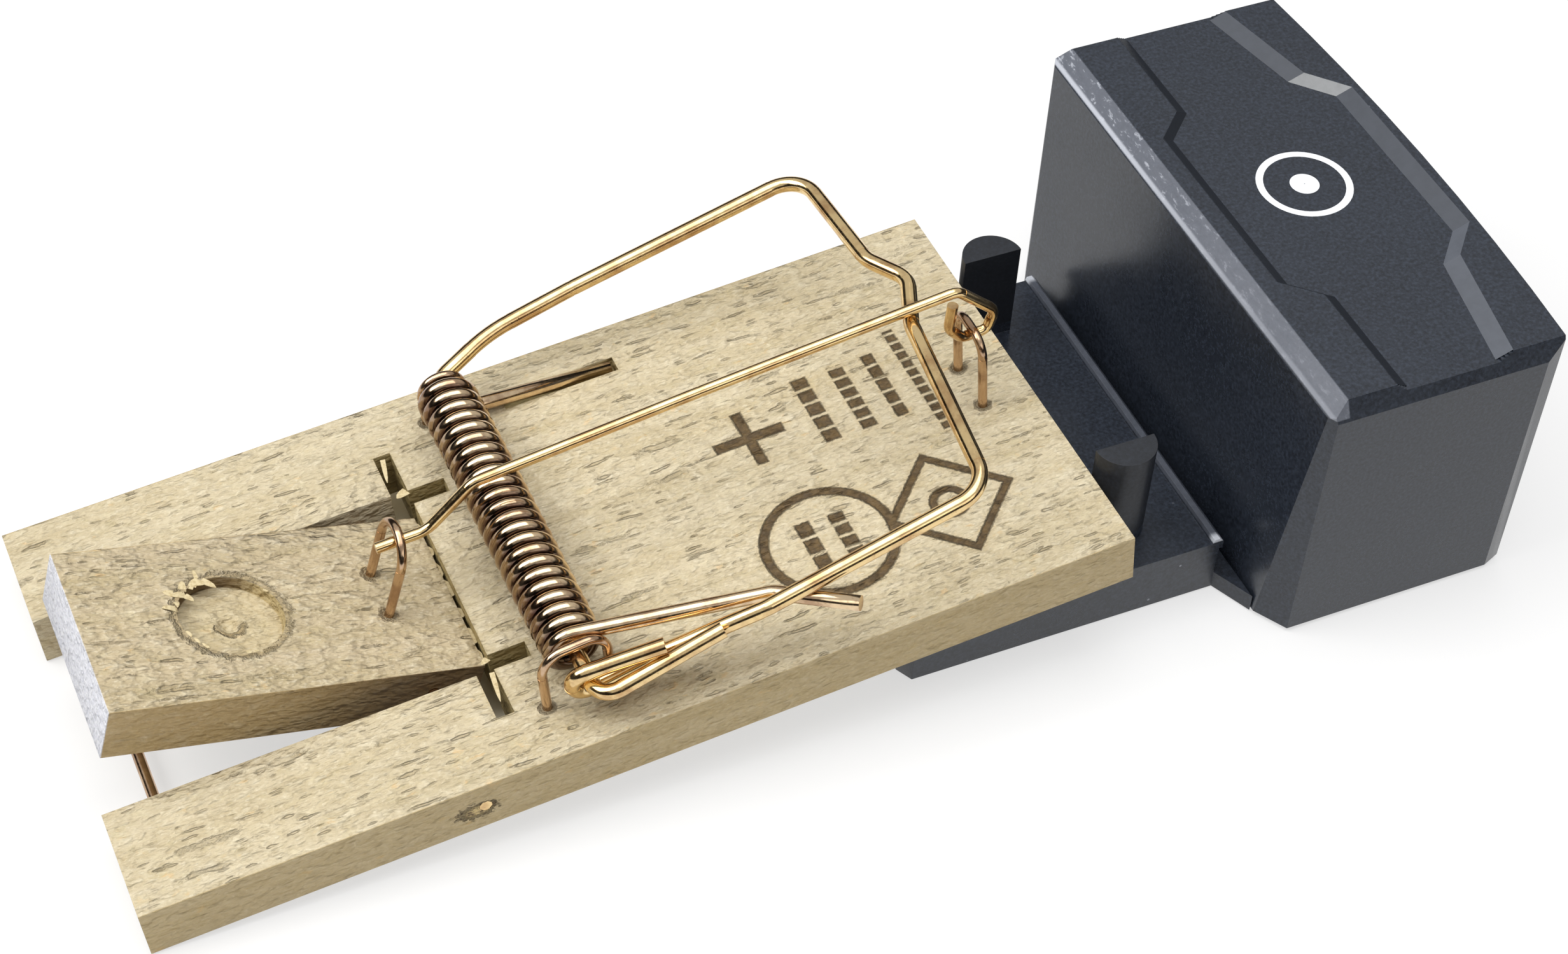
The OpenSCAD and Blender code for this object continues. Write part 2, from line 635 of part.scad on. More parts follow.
module housing_seal() {
    color("black") on_floor() translate([0, 0, floor_t]) difference() {
        linear_extrude(height = 1.2) housing_outline(wall + wall_lean * 0.1 + inner_gap);
        translate([0, 0, -over]) linear_extrude(height = 1.2 + 2 * over) housing_outline(wall + 1.1);
        translate([housing_x - over, -neck_w / 2 - 0.5, -over])
            cube([neck_l + wall + 4, neck_w + 1, 1.2 + 2 * over]);
    }
}

// The cell lies across the board's line, its terminal to the back
module battery_cell() {
    color("silver") on_floor() translate([screw_x, cell_l / 2, cell_z]) rotate([90, 0, 0]) {
        cylinder(h = cell_l, d = cell_d, $fn = round_facets);
        translate([0, 0, -1.1]) cylinder(h = 1.2, d = 6.5, $fn = round_facets);
    }
}

module contact_leaf(y) {
    translate([screw_x - leaf_w / 2, y, cell_z - leaf_w / 2]) cube([leaf_w, leaf_t, leaf_w]);
}

// A cone of wire that presses on the cell's flat end, on a leaf against the bay's front wall
module contact_spring() {
    turns = 3;
    steps = 12 * turns;
    wire_r = 0.25;
    leaf_y = bay_front_y + leaf_gap;
    from = -cell_l / 2 - 0.1 - wire_r;
    to = leaf_y + leaf_t + wire_r - 0.1;
    color("silver") on_floor() {
        swept_wire([for (i = [0:steps]) let (a = 30 * i, r = 2.5 + 1.8 * i / steps)
            [screw_x + r * cos(a), from + (to - from) * i / steps, cell_z + r * sin(a)]],
            [0, 1, 0], 2 * wire_r, 6);
        contact_leaf(leaf_y);
    }
}

module contact_plate() {
    color("silver") on_floor() contact_leaf(bay_back_y - leaf_gap - leaf_t);
}

module circuit_board() {
    color("darkgreen") on_floor() difference() {
        translate([pcb_x, -pcb_w / 2, pcb_z]) cube([pcb_l, pcb_w, pcb_t]);
        for (side = [-1, 1]) translate([screw_x, side * screw_y, pcb_z - over])
            cylinder(h = pcb_t + 2 * over, d = screw_d + 0.3, $fn = wire_facets);
    }
}

// The parts on the circuit board take their place and size from the board and the room above it
module on_circuit_board(x, y) {
    on_floor() translate([pcb_x + x * pcb_l, y * pcb_w, pcb_z + pcb_t]) children();
}

module radio_module() {
    color("silver") on_circuit_board(0.15, -0.27) cube([0.58 * pcb_l, 0.3 * pcb_w, 0.38 * part_room]);
}

module motion_sensor() {
    color("black") on_circuit_board(0.3, 0.15) cube([0.2 * pcb_l, 0.08 * pcb_w, 0.18 * part_room]);
}

module antenna() {
    strip = 0.6;
    run = 0.65 * pcb_w;
    color("gold") on_circuit_board(0.8, -0.35) {
        cube([strip, 0.06 * pcb_w, 0.8 * part_room]);
        translate([0, 0, 0.8 * part_room - strip]) cube([strip, run, strip]);
    }
}

module case_screws() {
    color("silver") on_floor() for (side = [-1, 1]) translate([screw_x, side * screw_y, head_z]) {
        cylinder(h = head_h, d = head_d, $fn = wire_facets);
        cylinder(h = screw_tip - head_z, d = screw_d, $fn = wire_facets);
    }
}

module board_screws() {
    color("silver") on_board() for (side = [-1, 1]) board_screw_pose(side) {
        cylinder(h = head_h, d = head_d, $fn = wire_facets);
        cylinder(h = board_screw_l, d = screw_d, $fn = wire_facets);
    }
}

board();
treadle();
treadle_pivot_wire();
treadle_staple();
stop_wire();
torsion_spring();
hammer();
axle_staple_front();
axle_staple_back();
trip_wire();
trip_wire_staple();
sensor_base();
housing_cover();
battery_door();
housing_seal();
battery_cell();
contact_spring();
contact_plate();
circuit_board();
radio_module();
motion_sensor();
antenna();
case_screws();
board_screws();
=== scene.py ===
# %% [markdown]
# # A snap mouse trap on its sensor unit
# The trap is a small board of beech, five pieces of coppered spring wire and a few staples.
# It stands on its treadle end and leans on the dock of a plastic box that reports when it snaps.
# The solids come ready made from the imported part. This lesson dresses them: it gives each one a
# finish made of shader nodes, softens the moulded edges, winds a smooth spring,
# and adds the fine things that a saw, a drill and a burning iron leave behind.

# %% Load the frame
import math
import random

import bpy
from mathutils import Matrix, Vector


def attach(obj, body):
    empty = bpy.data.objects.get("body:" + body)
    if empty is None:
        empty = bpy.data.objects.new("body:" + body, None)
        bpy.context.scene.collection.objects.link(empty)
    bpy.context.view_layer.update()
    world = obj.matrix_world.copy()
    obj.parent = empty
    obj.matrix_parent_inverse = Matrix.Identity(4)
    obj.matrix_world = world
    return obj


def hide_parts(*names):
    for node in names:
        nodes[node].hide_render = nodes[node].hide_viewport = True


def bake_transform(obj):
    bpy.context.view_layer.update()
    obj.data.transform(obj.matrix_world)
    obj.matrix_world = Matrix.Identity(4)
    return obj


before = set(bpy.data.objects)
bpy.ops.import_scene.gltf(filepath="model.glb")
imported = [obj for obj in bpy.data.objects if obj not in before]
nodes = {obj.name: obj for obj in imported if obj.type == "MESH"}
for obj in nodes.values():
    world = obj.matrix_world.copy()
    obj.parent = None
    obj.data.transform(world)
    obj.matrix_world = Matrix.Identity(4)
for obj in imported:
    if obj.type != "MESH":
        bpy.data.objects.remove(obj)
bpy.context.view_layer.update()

# %% [markdown]
# The board slopes up by six degrees, and the treadle tilts the other way on its pivot wire.
# Everything that is cut, drilled or burnt into the wood is easier to place along the board than
# along the floor, so two matrices carry points from the board and from the treadle to the floor.
# They are worked out from the same few sizes that the solids were drawn with, and so is the
# middle of the whole length, which is where the frame has its origin.

# %% Sizes of the board and the sensor unit, in millimetres
MM = 0.001
TILT = math.radians(6)
BOARD_L, BOARD_W, BOARD_T = 98.0, 48.5, 5.8
DOCK_LAP, DOCK_L, DOCK_H, NECK_L = 21.85, 34.3, 6.5, 2.1
HOUSING_L, HOUSING_H, HOUSING_BOW, RECESS = 27.3, 31.0, 1.3, 0.7
DOCK_END = BOARD_L * math.cos(TILT) - DOCK_LAP + DOCK_L
HOUSING_X = DOCK_END + NECK_L
HOUSING_END = HOUSING_X + HOUSING_L
MID_X = (HOUSING_END + HOUSING_BOW - BOARD_T * math.sin(TILT)) / 2
print("middle of the length at", round(MID_X, 4))

# %% Frames of the board and the treadle
TREADLE_TILT = math.radians(20)
PIVOT_X = 32.0
AXLE = Vector((44.4, 0, 9.9))

standing = Matrix.Translation((-MID_X * MM, 0, 0)) @ Matrix.Scale(MM, 4)
to_floor = (Matrix.Translation((-MID_X * MM, 0, 0)) @ Matrix.Rotation(-TILT, 4, "Y")
            @ Matrix.Scale(MM, 4))
# Points on the treadle are counted as if it still lay flush in the board
to_treadle = (to_floor @ Matrix.Translation((PIVOT_X, 0, BOARD_T / 2))
              @ Matrix.Rotation(TREADLE_TILT, 4, "Y")
              @ Matrix.Translation((-PIVOT_X, 0, -BOARD_T / 2)))


def on_board(x, y, z):
    """A point in millimetres along, across and above the board's underside, on the floor."""
    return to_floor @ Vector((x, y, z))


print("axle at", [round(v, 4) for v in on_board(*AXLE)])

# %% [markdown]
# A finish is a tree of nodes. Written as sums it is much shorter, so one small class wraps an
# output socket and gives it the usual operators: each of them adds a Math node. A number can
# stand on either side. Every other kind of node comes from Finish.add, which takes the type,
# its settings, and the numbers or links of its sockets.

# %% Node arithmetic
class Signal:
    """An output socket that can be reckoned with."""

    def __init__(self, finish, socket):
        self.finish = finish
        self.socket = socket

    def maths(self, operation, first, second=0.0):
        return self.finish.add("ShaderNodeMath", {"operation": operation}, {0: first, 1: second})

    def __add__(self, other):
        return self.maths("ADD", self, other)

    __radd__ = __add__

    def __sub__(self, other):
        return self.maths("SUBTRACT", self, other)

    def __rsub__(self, other):
        return self.maths("SUBTRACT", other, self)

    def __mul__(self, other):
        return self.maths("MULTIPLY", self, other)

    __rmul__ = __mul__

    def __truediv__(self, other):
        return self.maths("DIVIDE", self, other)

    def __abs__(self):
        return self.maths("ABSOLUTE", self)

    def at_least(self, other):
        return self.maths("MAXIMUM", self, other)

    def at_most(self, other):
        return self.maths("MINIMUM", self, other)

    def root(self):
        return self.maths("SQRT", self)

    def rise(self, low, high):
        """0 below low, 1 above high, and a smooth step between; high may be below low."""
        return self.finish.add("ShaderNodeMapRange", {"interpolation_type": "SMOOTHSTEP"},
                               {"Value": self, "From Min": low, "From Max": high})


print("a signal adds, subtracts, multiplies, divides, compares and steps")

# %% A finish
class Finish:
    """A material with one Principled shader, and the nodes that feed it."""

    def __init__(self, name, **constants):
        self.material = bpy.data.materials.new(name)
        self.material.use_nodes = True
        self.tree = self.material.node_tree
        self.tree.nodes.clear()
        self.shader = self.tree.nodes.new("ShaderNodeBsdfPrincipled")
        output = self.tree.nodes.new("ShaderNodeOutputMaterial")
        self.tree.links.new(self.shader.outputs[0], output.inputs["Surface"])
        self.set(**constants)

    def feed(self, node, sockets):
        for name, value in sockets.items():
            if isinstance(value, Signal):
                self.tree.links.new(value.socket, node.inputs[name])
            else:
                node.inputs[name].default_value = value

    def add(self, kind, settings=None, sockets=None, out=0):
        node = self.tree.nodes.new(kind)
        for name, value in (settings or {}).items():
            setattr(node, name, value)
        self.feed(node, sockets or {})
        return Signal(self, node.outputs[out])

    def set(self, **sockets):
        """Sets or links the shader's own sockets, with _ for a space in their names."""
        self.feed(self.shader, {name.replace("_", " "): value for name, value in sockets.items()})

    def mix(self, share, low, high):
        return self.add("ShaderNodeMix", {"data_type": "RGBA"}, {0: share, 6: low, 7: high}, out=2)

    def noise(self, vector, scale, detail=2.0, roughness=0.5):
        return self.add("ShaderNodeTexNoise", None, {"Vector": vector, "Scale": scale,
                                                     "Detail": detail, "Roughness": roughness})

    def cells(self, vector, scale=1.0, out=0):
        return self.add("ShaderNodeTexVoronoi", None, {"Vector": vector, "Scale": scale}, out=out)

    def split(self, vector):
        return [self.add("ShaderNodeSeparateXYZ", None, {"Vector": vector}, out=i) for i in range(3)]

    def join(self, x, y, z):
        return self.add("ShaderNodeCombineXYZ", None, {"X": x, "Y": y, "Z": z})

    def bump(self, height, strength, distance):
        return self.add("ShaderNodeBump", None,
                        {"Height": height, "Strength": strength, "Distance": distance})

    def place(self, matrix=None):
        """Object coordinates in millimetres, in the frame that matrix carries to the floor."""
        here = self.add("ShaderNodeTexCoord", out=3)
        inverse = (matrix or Matrix.Scale(MM, 4)).inverted()
        turn = inverse.to_euler()
        return self.add("ShaderNodeMapping", {"vector_type": "POINT"},
                        {"Vector": here, "Location": inverse.to_translation(),
                         "Rotation": turn, "Scale": inverse.to_scale()})


print("a finish takes constants, and adds its nodes one by one")

# %% Colours, and dressing a solid
def colour(red, green, blue):
    """A colour as seen on a screen, 0 to 255, as the numbers that a shader works with."""
    line = [c / 255 for c in (red, green, blue)]
    return tuple(c / 12.92 if c <= 0.04045 else ((c + 0.055) / 1.055) ** 2.4 for c in line) + (1,)


def shade(tone, factor):
    """The same colour, darker or lighter."""
    return tuple(factor * c for c in tone[:3]) + (1,)


def dress(finish, *names):
    """Gives the solids of these names the finish, in place of any other."""
    for name in names:
        mesh = nodes[name].data
        mesh.materials.clear()
        mesh.materials.append(finish.material)


print("mid grey as a shader has it:", round(colour(128, 128, 128)[0], 3))

# %% [markdown]
# Beech is pale and even. What gives it away are its rays: seen on the flat of the board they are
# short dark dashes along the grain, about a millimetre long. They could be painted, but cells
# do it better: a Voronoi pattern stretched along the grain has one centre per dash, and its
# random colour says which cells have a dash and how dark it is. Broad bands of noise add the
# growth rings, and fine noise the fuzz that the saw leaves. The same noises, as a height, make the
# surface uneven under the light. The treadle was cut out of the same board, so it takes the same
# finish, turned with it.

# %% Beech
def beech(name, matrix, pale, dark):
    """Returns the finish, its colour and height so far, and where a point is on the board."""
    wood = Finish(name, IOR=1.4)
    spot = wood.place(matrix)
    along, across, up = wood.split(spot)
    wander = wood.noise(wood.join(along * 0.12, across * 0.35, up * 0.35), 1.0, 2.0) - 0.5
    drift = across + wander * 1.6
    bands = wood.noise(wood.join(along * 0.02, drift * 0.30, up * 0.5), 1.0, 3.0, 0.6)
    cloud = wood.noise(wood.join(along * 0.45, across * 0.8, up * 0.8), 1.0, 3.0, 0.6)
    fibre = wood.noise(wood.join(along * 0.7, drift * 5.0, up * 5.0), 1.0, 3.0, 0.65)
    fuzz = wood.noise(wood.join(along * 1.5, across * 2.6, up * 2.6), 1.0, 3.0, 0.65)
    lump = wood.noise(wood.join(along * 0.62, across * 1.15 + 7.0, up * 1.15), 1.0, 2.0, 0.5)

    def dashes(length, width, share, seed):
        where = wood.join(along / length + seed, drift / width, up / width + seed)
        distance = wood.cells(where) + (fuzz - 0.5) * 0.35 + (lump - 0.5) * 0.55
        chance = wood.split(wood.cells(where, out=1))
        return distance.rise(0.34, 0.12) * chance[0].rise(share, share + 0.3)

    rays = (dashes(2.2, 0.45, 0.60, 0.0) * 0.45).at_least(dashes(4.8, 0.65, 0.60, 7.3) * 0.65)
    rays = rays.at_least(dashes(9.0, 1.35, 0.78, 3.1) * 0.7)
    rays = rays * (0.2 + 0.8 * up.rise(BOARD_T - 0.5, BOARD_T - 0.2))
    tone = wood.mix(bands.rise(0.30, 0.72), pale, dark)
    tone = wood.mix(cloud.rise(0.50, 0.75) * 0.30, tone, colour(198, 184, 140))
    tone = wood.mix(cloud.rise(0.46, 0.25) * 0.40, tone, colour(226, 214, 180))
    tone = wood.mix(fibre.rise(0.48, 0.80) * 0.34, tone, colour(176, 156, 112))
    tone = wood.mix(fuzz.rise(0.52, 0.72) * 0.36, tone, colour(238, 229, 204))
    tone = wood.mix(fuzz.rise(0.44, 0.28) * 0.28, tone, colour(166, 146, 102))
    # Painted light and shade of the relief: raised lumps are painted lighter, hollows darker
    tone = wood.mix(lump.rise(0.44, 0.28) * 0.17, tone, colour(168, 148, 104))
    tone = wood.mix(lump.rise(0.56, 0.72) * 0.22, tone, colour(240, 232, 208))
    tone = wood.mix(cloud.rise(0.60, 0.72) * lump.rise(0.5, 0.6) * 0.35, tone, colour(222, 176, 112))
    tone = wood.mix(rays * 0.36, tone, colour(122, 103, 66))
    # The long sides are painted darker and yellower: their edge grain, and painted shade
    side = abs(across).rise(BOARD_W / 2 - 0.15, BOARD_W / 2 - 0.03)
    tone = wood.mix(side * (0.35 + 0.3 * fibre), tone, colour(168, 142, 88))
    height = fibre * 0.3 + fuzz * 0.4 + lump * 2.7 - rays * 1.5
    return wood, tone, height, along, across, up


print("beech recipe ready")

# %% [markdown]
# Boards like this are marked with a hot iron. The marks here are plain shapes that say nothing:
# a ring, a diamond, a cross and rows of short dashes. Each is a distance sum in the board's own
# millimetres, cut off at the width of the iron's edge. The burn is dark in its middle and
# browner at its sides, a little uneven where the iron met the grain, and pressed into the wood.

# %% Flat shapes on the wood
board_wood, tone, height, along, across, up = beech(
    "beech_board", to_floor, colour(207, 194, 165), colour(195, 180, 147))


def bar(x0, x1, y0, y1):
    """Distance in millimetres outside a rectangle on the board; negative inside."""
    half_x, half_y = (x1 - x0) / 2, (y1 - y0) / 2
    side_x = abs(along - (x0 + x1) / 2) - half_x
    side_y = abs(across - (y0 + y1) / 2) - half_y
    return side_x.at_least(side_y)


def reach(x, y):
    """Distance from a point of the board."""
    return ((along - x) * (along - x) + (across - y) * (across - y)).root()


def ring(x, y, radius, line):
    """A circle drawn with a line of this width."""
    return abs(reach(x, y) - radius) - line / 2


def diamond(x, y, radius, line):
    """A square on its corner, drawn the same way."""
    return abs((abs(along - x) + abs(across - y) - radius) * 0.7071) - line / 2


def row_of_dashes(x0, x1, y0, y1, step):
    """A bar with a gap after each step."""
    place = board_wood.add("ShaderNodeMath", {"operation": "PINGPONG"},
                           {0: across - y0, 1: step / 2})
    return bar(x0, x1, y0, y1).at_least(0.28 - place)


def lowest(shapes):
    """Shapes joined into one."""
    nearest = shapes[0]
    for shape in shapes[1:]:
        nearest = nearest.at_most(shape)
    return nearest


print("shapes that can be joined: bar, ring, diamond, row of dashes")

# %% The marks
burns = lowest([
    ring(71.9, -11.8, 6.3, 0.85),
    row_of_dashes(69.6, 71.0, -15.0, -8.6, 2.2),
    row_of_dashes(73.0, 74.4, -15.0, -8.6, 1.6),
    diamond(84.3, -12.4, 6.2, 0.7),
    ring(84.3, -12.4, 1.6, 0.7),
    bar(66.6, 73.8, 3.1, 4.2),
    bar(69.7, 70.7, 0.1, 7.2),
    row_of_dashes(76.9, 78.4, -0.4, 8.7, 1.9),
    row_of_dashes(80.9, 82.3, -0.4, 8.7, 1.5),
    row_of_dashes(84.6, 85.7, -0.4, 8.7, 1.9),
    row_of_dashes(88.0, 88.9, -3.9, 10.8, 1.3),
])
ragged = board_wood.noise(board_wood.join(along * 2.6, across * 2.6, 0.0), 1.0, 3.0, 0.7) - 0.5
top_only = up.rise(BOARD_T - 0.5, BOARD_T - 0.3)
burn = (burns + ragged * 0.36).rise(0.16, -0.10) * top_only
scorch = (burns + ragged * 0.8).rise(0.70, 0.0) * top_only
char = board_wood.noise(board_wood.join(along * 1.1, across * 1.1, 3.0), 1.0, 3.0, 0.6)
burnt_tone = board_wood.mix(char.rise(0.35, 0.65), colour(66, 48, 24), colour(96, 74, 40))
tone = board_wood.mix(scorch * 0.20, tone, colour(186, 158, 104))
tone = board_wood.mix(burn * 0.93, tone, burnt_tone)
print("nodes so far:", len(board_wood.tree.nodes))

# %% [markdown]
# Inside the saw cuts and the groove the wood is painted darker, the more the deeper, as painted
# shade. The same rectangles that the saw followed say where: a wall of a cut lies where the distance
# to its rectangle is nought. Staple feet crush a dark dot, and where the pivot's hole comes out at
# the side, the drill tore a ragged pit, painted pale where the fibres tore and dark as painted shade
# in its hollow.

# %% Saw cuts and groove
CUT_END, CROSSCUT_END, CUT_START = 41.30, 37.60, 35.85
CUT_INNER, CUT_OUTER, CROSSCUT_HALF = 10.35, 12.2, 17.65
cuts = lowest([
    bar(CUT_START, CUT_END, -CUT_OUTER, -CUT_INNER),
    bar(CUT_START, CUT_END, CUT_INNER, CUT_OUTER),
    bar(CUT_START, CROSSCUT_END, -CROSSCUT_HALF, CROSSCUT_HALF),
    bar(50.0, 62.1, 18.05, 19.95),
])
# Painted shade: the walls of the cuts are painted darker, more so deeper down
in_cut = cuts.rise(0.05, 0.01) * up.rise(BOARD_T - 0.02, BOARD_T - 0.12)
depth = (BOARD_T - up).rise(0.0, 2.6)
cut_shade = board_wood.mix(depth, colour(186, 168, 120), colour(158, 140, 94))
tone = board_wood.mix(in_cut, tone, cut_shade)
fray = (cuts + ragged * 1.1).rise(0.45, 0.0) * top_only
tone = board_wood.mix(fray * 0.30, tone, colour(168, 150, 104))
print("nodes so far:", len(board_wood.tree.nodes))

# %% Staple feet and the pit round the pivot's hole
TRIP_X = 92.7
front_feet = ((40.5, -18.475), (47.0, -18.175))
back_feet = ((42.3, 19.925), (46.5, 19.925))
trip_feet = ((TRIP_X, -2.45), (TRIP_X, 3.05))
feet = lowest([reach(x, y) for x, y in front_feet + back_feet + trip_feet])
crushed = (feet + ragged * 0.7).rise(1.0, 0.5) * top_only
tone = board_wood.mix(crushed * 0.55, tone, colour(104, 84, 48))

PIT_X, PIT_Z = PIVOT_X - 0.8, 2.6
pit_reach = ((along - PIT_X) * (along - PIT_X) * 0.30 + (up - PIT_Z) * (up - PIT_Z)).root()
torn = board_wood.noise(board_wood.join(along * 1.3, 4.0, up * 1.9), 1.0, 3.0, 0.7) - 0.5
pit = (pit_reach + torn * 2.6).rise(1.15, 0.55) * across.rise(0.15 - BOARD_W / 2, 0.05 - BOARD_W / 2)
# The pit is painted pale where the fibres tore, and dark as painted shade in its hollow
pit_tone_and_shade = board_wood.mix(torn.rise(-0.12, 0.06), colour(74, 50, 22), colour(214, 190, 134))
tone = board_wood.mix(pit * 0.8, tone, pit_tone_and_shade)
WOOD_RELIEF = 0.42 * MM
board_wood.set(Base_Color=tone, Roughness=0.74 - 0.1 * burn,
               Normal=board_wood.bump(height - burn * 1.6 - pit * 3.0 - crushed * 1.5, 1.0, WOOD_RELIEF))
dress(board_wood, "board")
print("nodes in the board's finish:", len(board_wood.tree.nodes))

# %% [markdown]
# The treadle was sawn out of the board after its face was planed. Its far end is sawn end grain,
# painted almost white and bluish as painted light. The bait well is drilled with a flat bit: its
# wall is torn and painted dark as painted shade, darkest on its far side, and its floor shows the
# bit's rings. The flanks are a warmer brown and are painted darker towards the pivot, as painted
# shade deep in the saw cut. Separate materials on separate faces could do this, but then each
# border would be a hard line; steps of a distance fade as the wood does.

# %% The bait well
WELL_X, WELL_R, FLANK = PIVOT_X - 17.0, 5.0, 10.1
treadle_wood, tone, height, along, across, up = beech(
    "beech_treadle", to_treadle, colour(192, 176, 146), colour(182, 166, 132))
ragged = treadle_wood.noise(treadle_wood.join(along * 1.4, across * 1.4, 0.0), 1.0, 3.0, 0.7) - 0.5
radial = ((along - WELL_X) * (along - WELL_X) + across * across).root()
sunk = up.rise(BOARD_T - 0.03, BOARD_T - 0.15)
well_wall = (radial.rise(WELL_R - 0.20, WELL_R - 0.07)
             * radial.rise(WELL_R + 0.12, WELL_R + 0.04) * sunk)
well_floor = radial.rise(WELL_R - 0.07, WELL_R - 0.20) * sunk
rings_cut = treadle_wood.noise(treadle_wood.join(radial * 2.2, along * 0.5, across * 0.5),
                               1.0, 2.0, 0.6)
curl = (abs(radial - 1.2) + ragged * 1.6).rise(0.5, 0.1) * sunk * across.rise(0.6, -0.6)
torn_rim = (abs(radial - WELL_R - 0.1) + ragged * 2.2).rise(0.75, 0.1)
torn_rim = torn_rim * up.rise(BOARD_T - 0.05, BOARD_T - 0.02)
floor_tone = treadle_wood.mix(rings_cut.rise(0.35, 0.65), colour(196, 178, 134), colour(212, 198, 160))
tone = treadle_wood.mix(well_floor * 0.35, tone, floor_tone)
# Painted shade: the well's wall is painted dark, darkest on its far side
far_wall_shade = (WELL_X - along + across * 0.6).rise(-3.0, 2.5)
well_wall_shade = treadle_wood.mix(far_wall_shade, colour(184, 164, 116), colour(104, 80, 42))
tone = treadle_wood.mix(well_wall * 0.85, tone, well_wall_shade)
tone = treadle_wood.mix(torn_rim * 0.40, tone, colour(150, 128, 84))
tone = treadle_wood.mix(curl * 0.5, tone, colour(128, 104, 62))
print("nodes so far:", len(treadle_wood.tree.nodes))

# %% The treadle's flanks, staple feet and sawn end
# The flanks are painted a warmer brown, and darker towards the pivot as painted shade
flank = abs(across).rise(FLANK - 0.10, FLANK - 0.02)
flank_tone_and_shade = treadle_wood.mix(along.rise(12.0, 30.0), colour(182, 148, 86), colour(92, 66, 30))
tone = treadle_wood.mix(flank * (0.42 + 0.40 * along.rise(12.0, 33.0)), tone, flank_tone_and_shade)
STAPLE_X, TREADLE_REACH, TREADLE_TAIL = PIVOT_X - 2.3, 31.3, 4.55
END_X = PIVOT_X - TREADLE_REACH + 0.14
feet = lowest([((along - STAPLE_X) * (along - STAPLE_X) + (across - y) * (across - y)).root()
               for y in (-2.25, 3.25)])
crushed = (feet + ragged * 0.9).rise(1.1, 0.5) * up.rise(BOARD_T - 0.3, BOARD_T - 0.1)
tone = treadle_wood.mix(crushed * 0.55, tone, colour(104, 84, 48))
# Painted light: the sawn end is painted almost white and bluish
saw_end = along.rise(END_X, END_X - 0.12)
saw_lines = treadle_wood.noise(treadle_wood.join(0.0, across * 1.2, up * 5.0), 1.0, 2.0, 0.6)
end_painted_light = treadle_wood.mix(saw_lines.rise(0.35, 0.7), colour(232, 234, 242), colour(206, 210, 224))
tone = treadle_wood.mix(saw_end * 0.86, tone, end_painted_light)
treadle_wood.set(Base_Color=tone, Roughness=0.76,
                 Normal=treadle_wood.bump(height - torn_rim * 1.4 - crushed * 1.5 - curl * 1.5,
                                          1.0, WOOD_RELIEF))
dress(treadle_wood, "treadle")
print("nodes in the treadle's finish:", len(treadle_wood.tree.nodes))

# %% [markdown]
# The wires are steel with a thin bright coat of copper, drawn through a die, so they are smooth
# and mirror-like. The coat is thin: it darkens to brown where it was handled and is speckled with
# small brown spots. A picture of tarnish would need the wire unwrapped; two noises, one wide and
# one fine, need only the place in space. Metallic stays at one, and only colour and roughness
# vary. The staples and the two short wires are of a browner lot than the hammer and the trip wire.

# %% Coppered wire
def coppered(name, bright, brown, rough):
    """Returns the finish and its colour, for a wire that gets more colour painted on top."""
    wire = Finish(name, Metallic=1.0)
    spot = wire.place(to_floor)
    stain = wire.noise(spot, 0.30, 4.0, 0.6)
    speck = wire.noise(spot, 2.6, 3.0, 0.6)
    tone = wire.mix(stain.rise(0.40, 0.68) * 0.75, bright, brown)
    tone = wire.mix(speck.rise(0.58, 0.72) * 0.30, tone, colour(140, 100, 62))
    wire.set(Base_Color=tone, Roughness=rough + 0.08 * speck.rise(0.4, 0.7))
    return wire, tone


bright_wire = coppered("coppered_wire", colour(240, 211, 156), colour(183, 140, 96), 0.13)[0]
dress(bright_wire, "hammer", "trip_wire", "torsion_spring")
staple_wire = coppered("coppered_staple_wire", colour(206, 176, 144), colour(150, 118, 94), 0.15)[0]
dress(staple_wire, "treadle_staple", "trip_wire_staple", "axle_staple_front", "axle_staple_back",
      "treadle_pivot_wire", "stop_wire")
print("nodes in a wire's finish:", len(bright_wire.tree.nodes))

# %% [markdown]
# The grooves between the spring's turns are painted dark as painted shade. A groove is where a point
# of the coil lies closer to the axle than the crests. The coil's flank over the treadle is painted
# darker too, as painted shade. Both stop short of the legs, which lie farther from the axle.

# %% The spring's painted shade
SPRING_D, COIL_D, COIL_BACK, FRONT_END = 1.5, 6.1, 18.5, -16.5
coil_out = COIL_D / 2
spring_wire, tone = coppered("coppered_spring_wire", colour(232, 206, 168), colour(160, 124, 98), 0.13)
x, y, z = spring_wire.split(spring_wire.place(to_floor))
off_axle = ((x - AXLE.x) * (x - AXLE.x) + (z - AXLE.z) * (z - AXLE.z)).root()
on_coil = off_axle.rise(coil_out + 0.45, coil_out + 0.15)
# Painted shade: the grooves between the turns are painted dark
groove = off_axle.rise(coil_out - 0.05, coil_out - 0.33) * on_coil * y.rise(FRONT_END - 1.0, FRONT_END)
tone = spring_wire.mix(groove * 0.85, tone, colour(62, 42, 40))
# Painted shade: the coil's flank over the treadle is painted darker
coil_flank_shade = (AXLE.x - x).rise(0.6, 2.6) * on_coil
spring_wire.set(Base_Color=spring_wire.mix(coil_flank_shade * 0.5, tone, colour(84, 58, 56)))
print("nodes in the spring's finish:", len(spring_wire.tree.nodes))
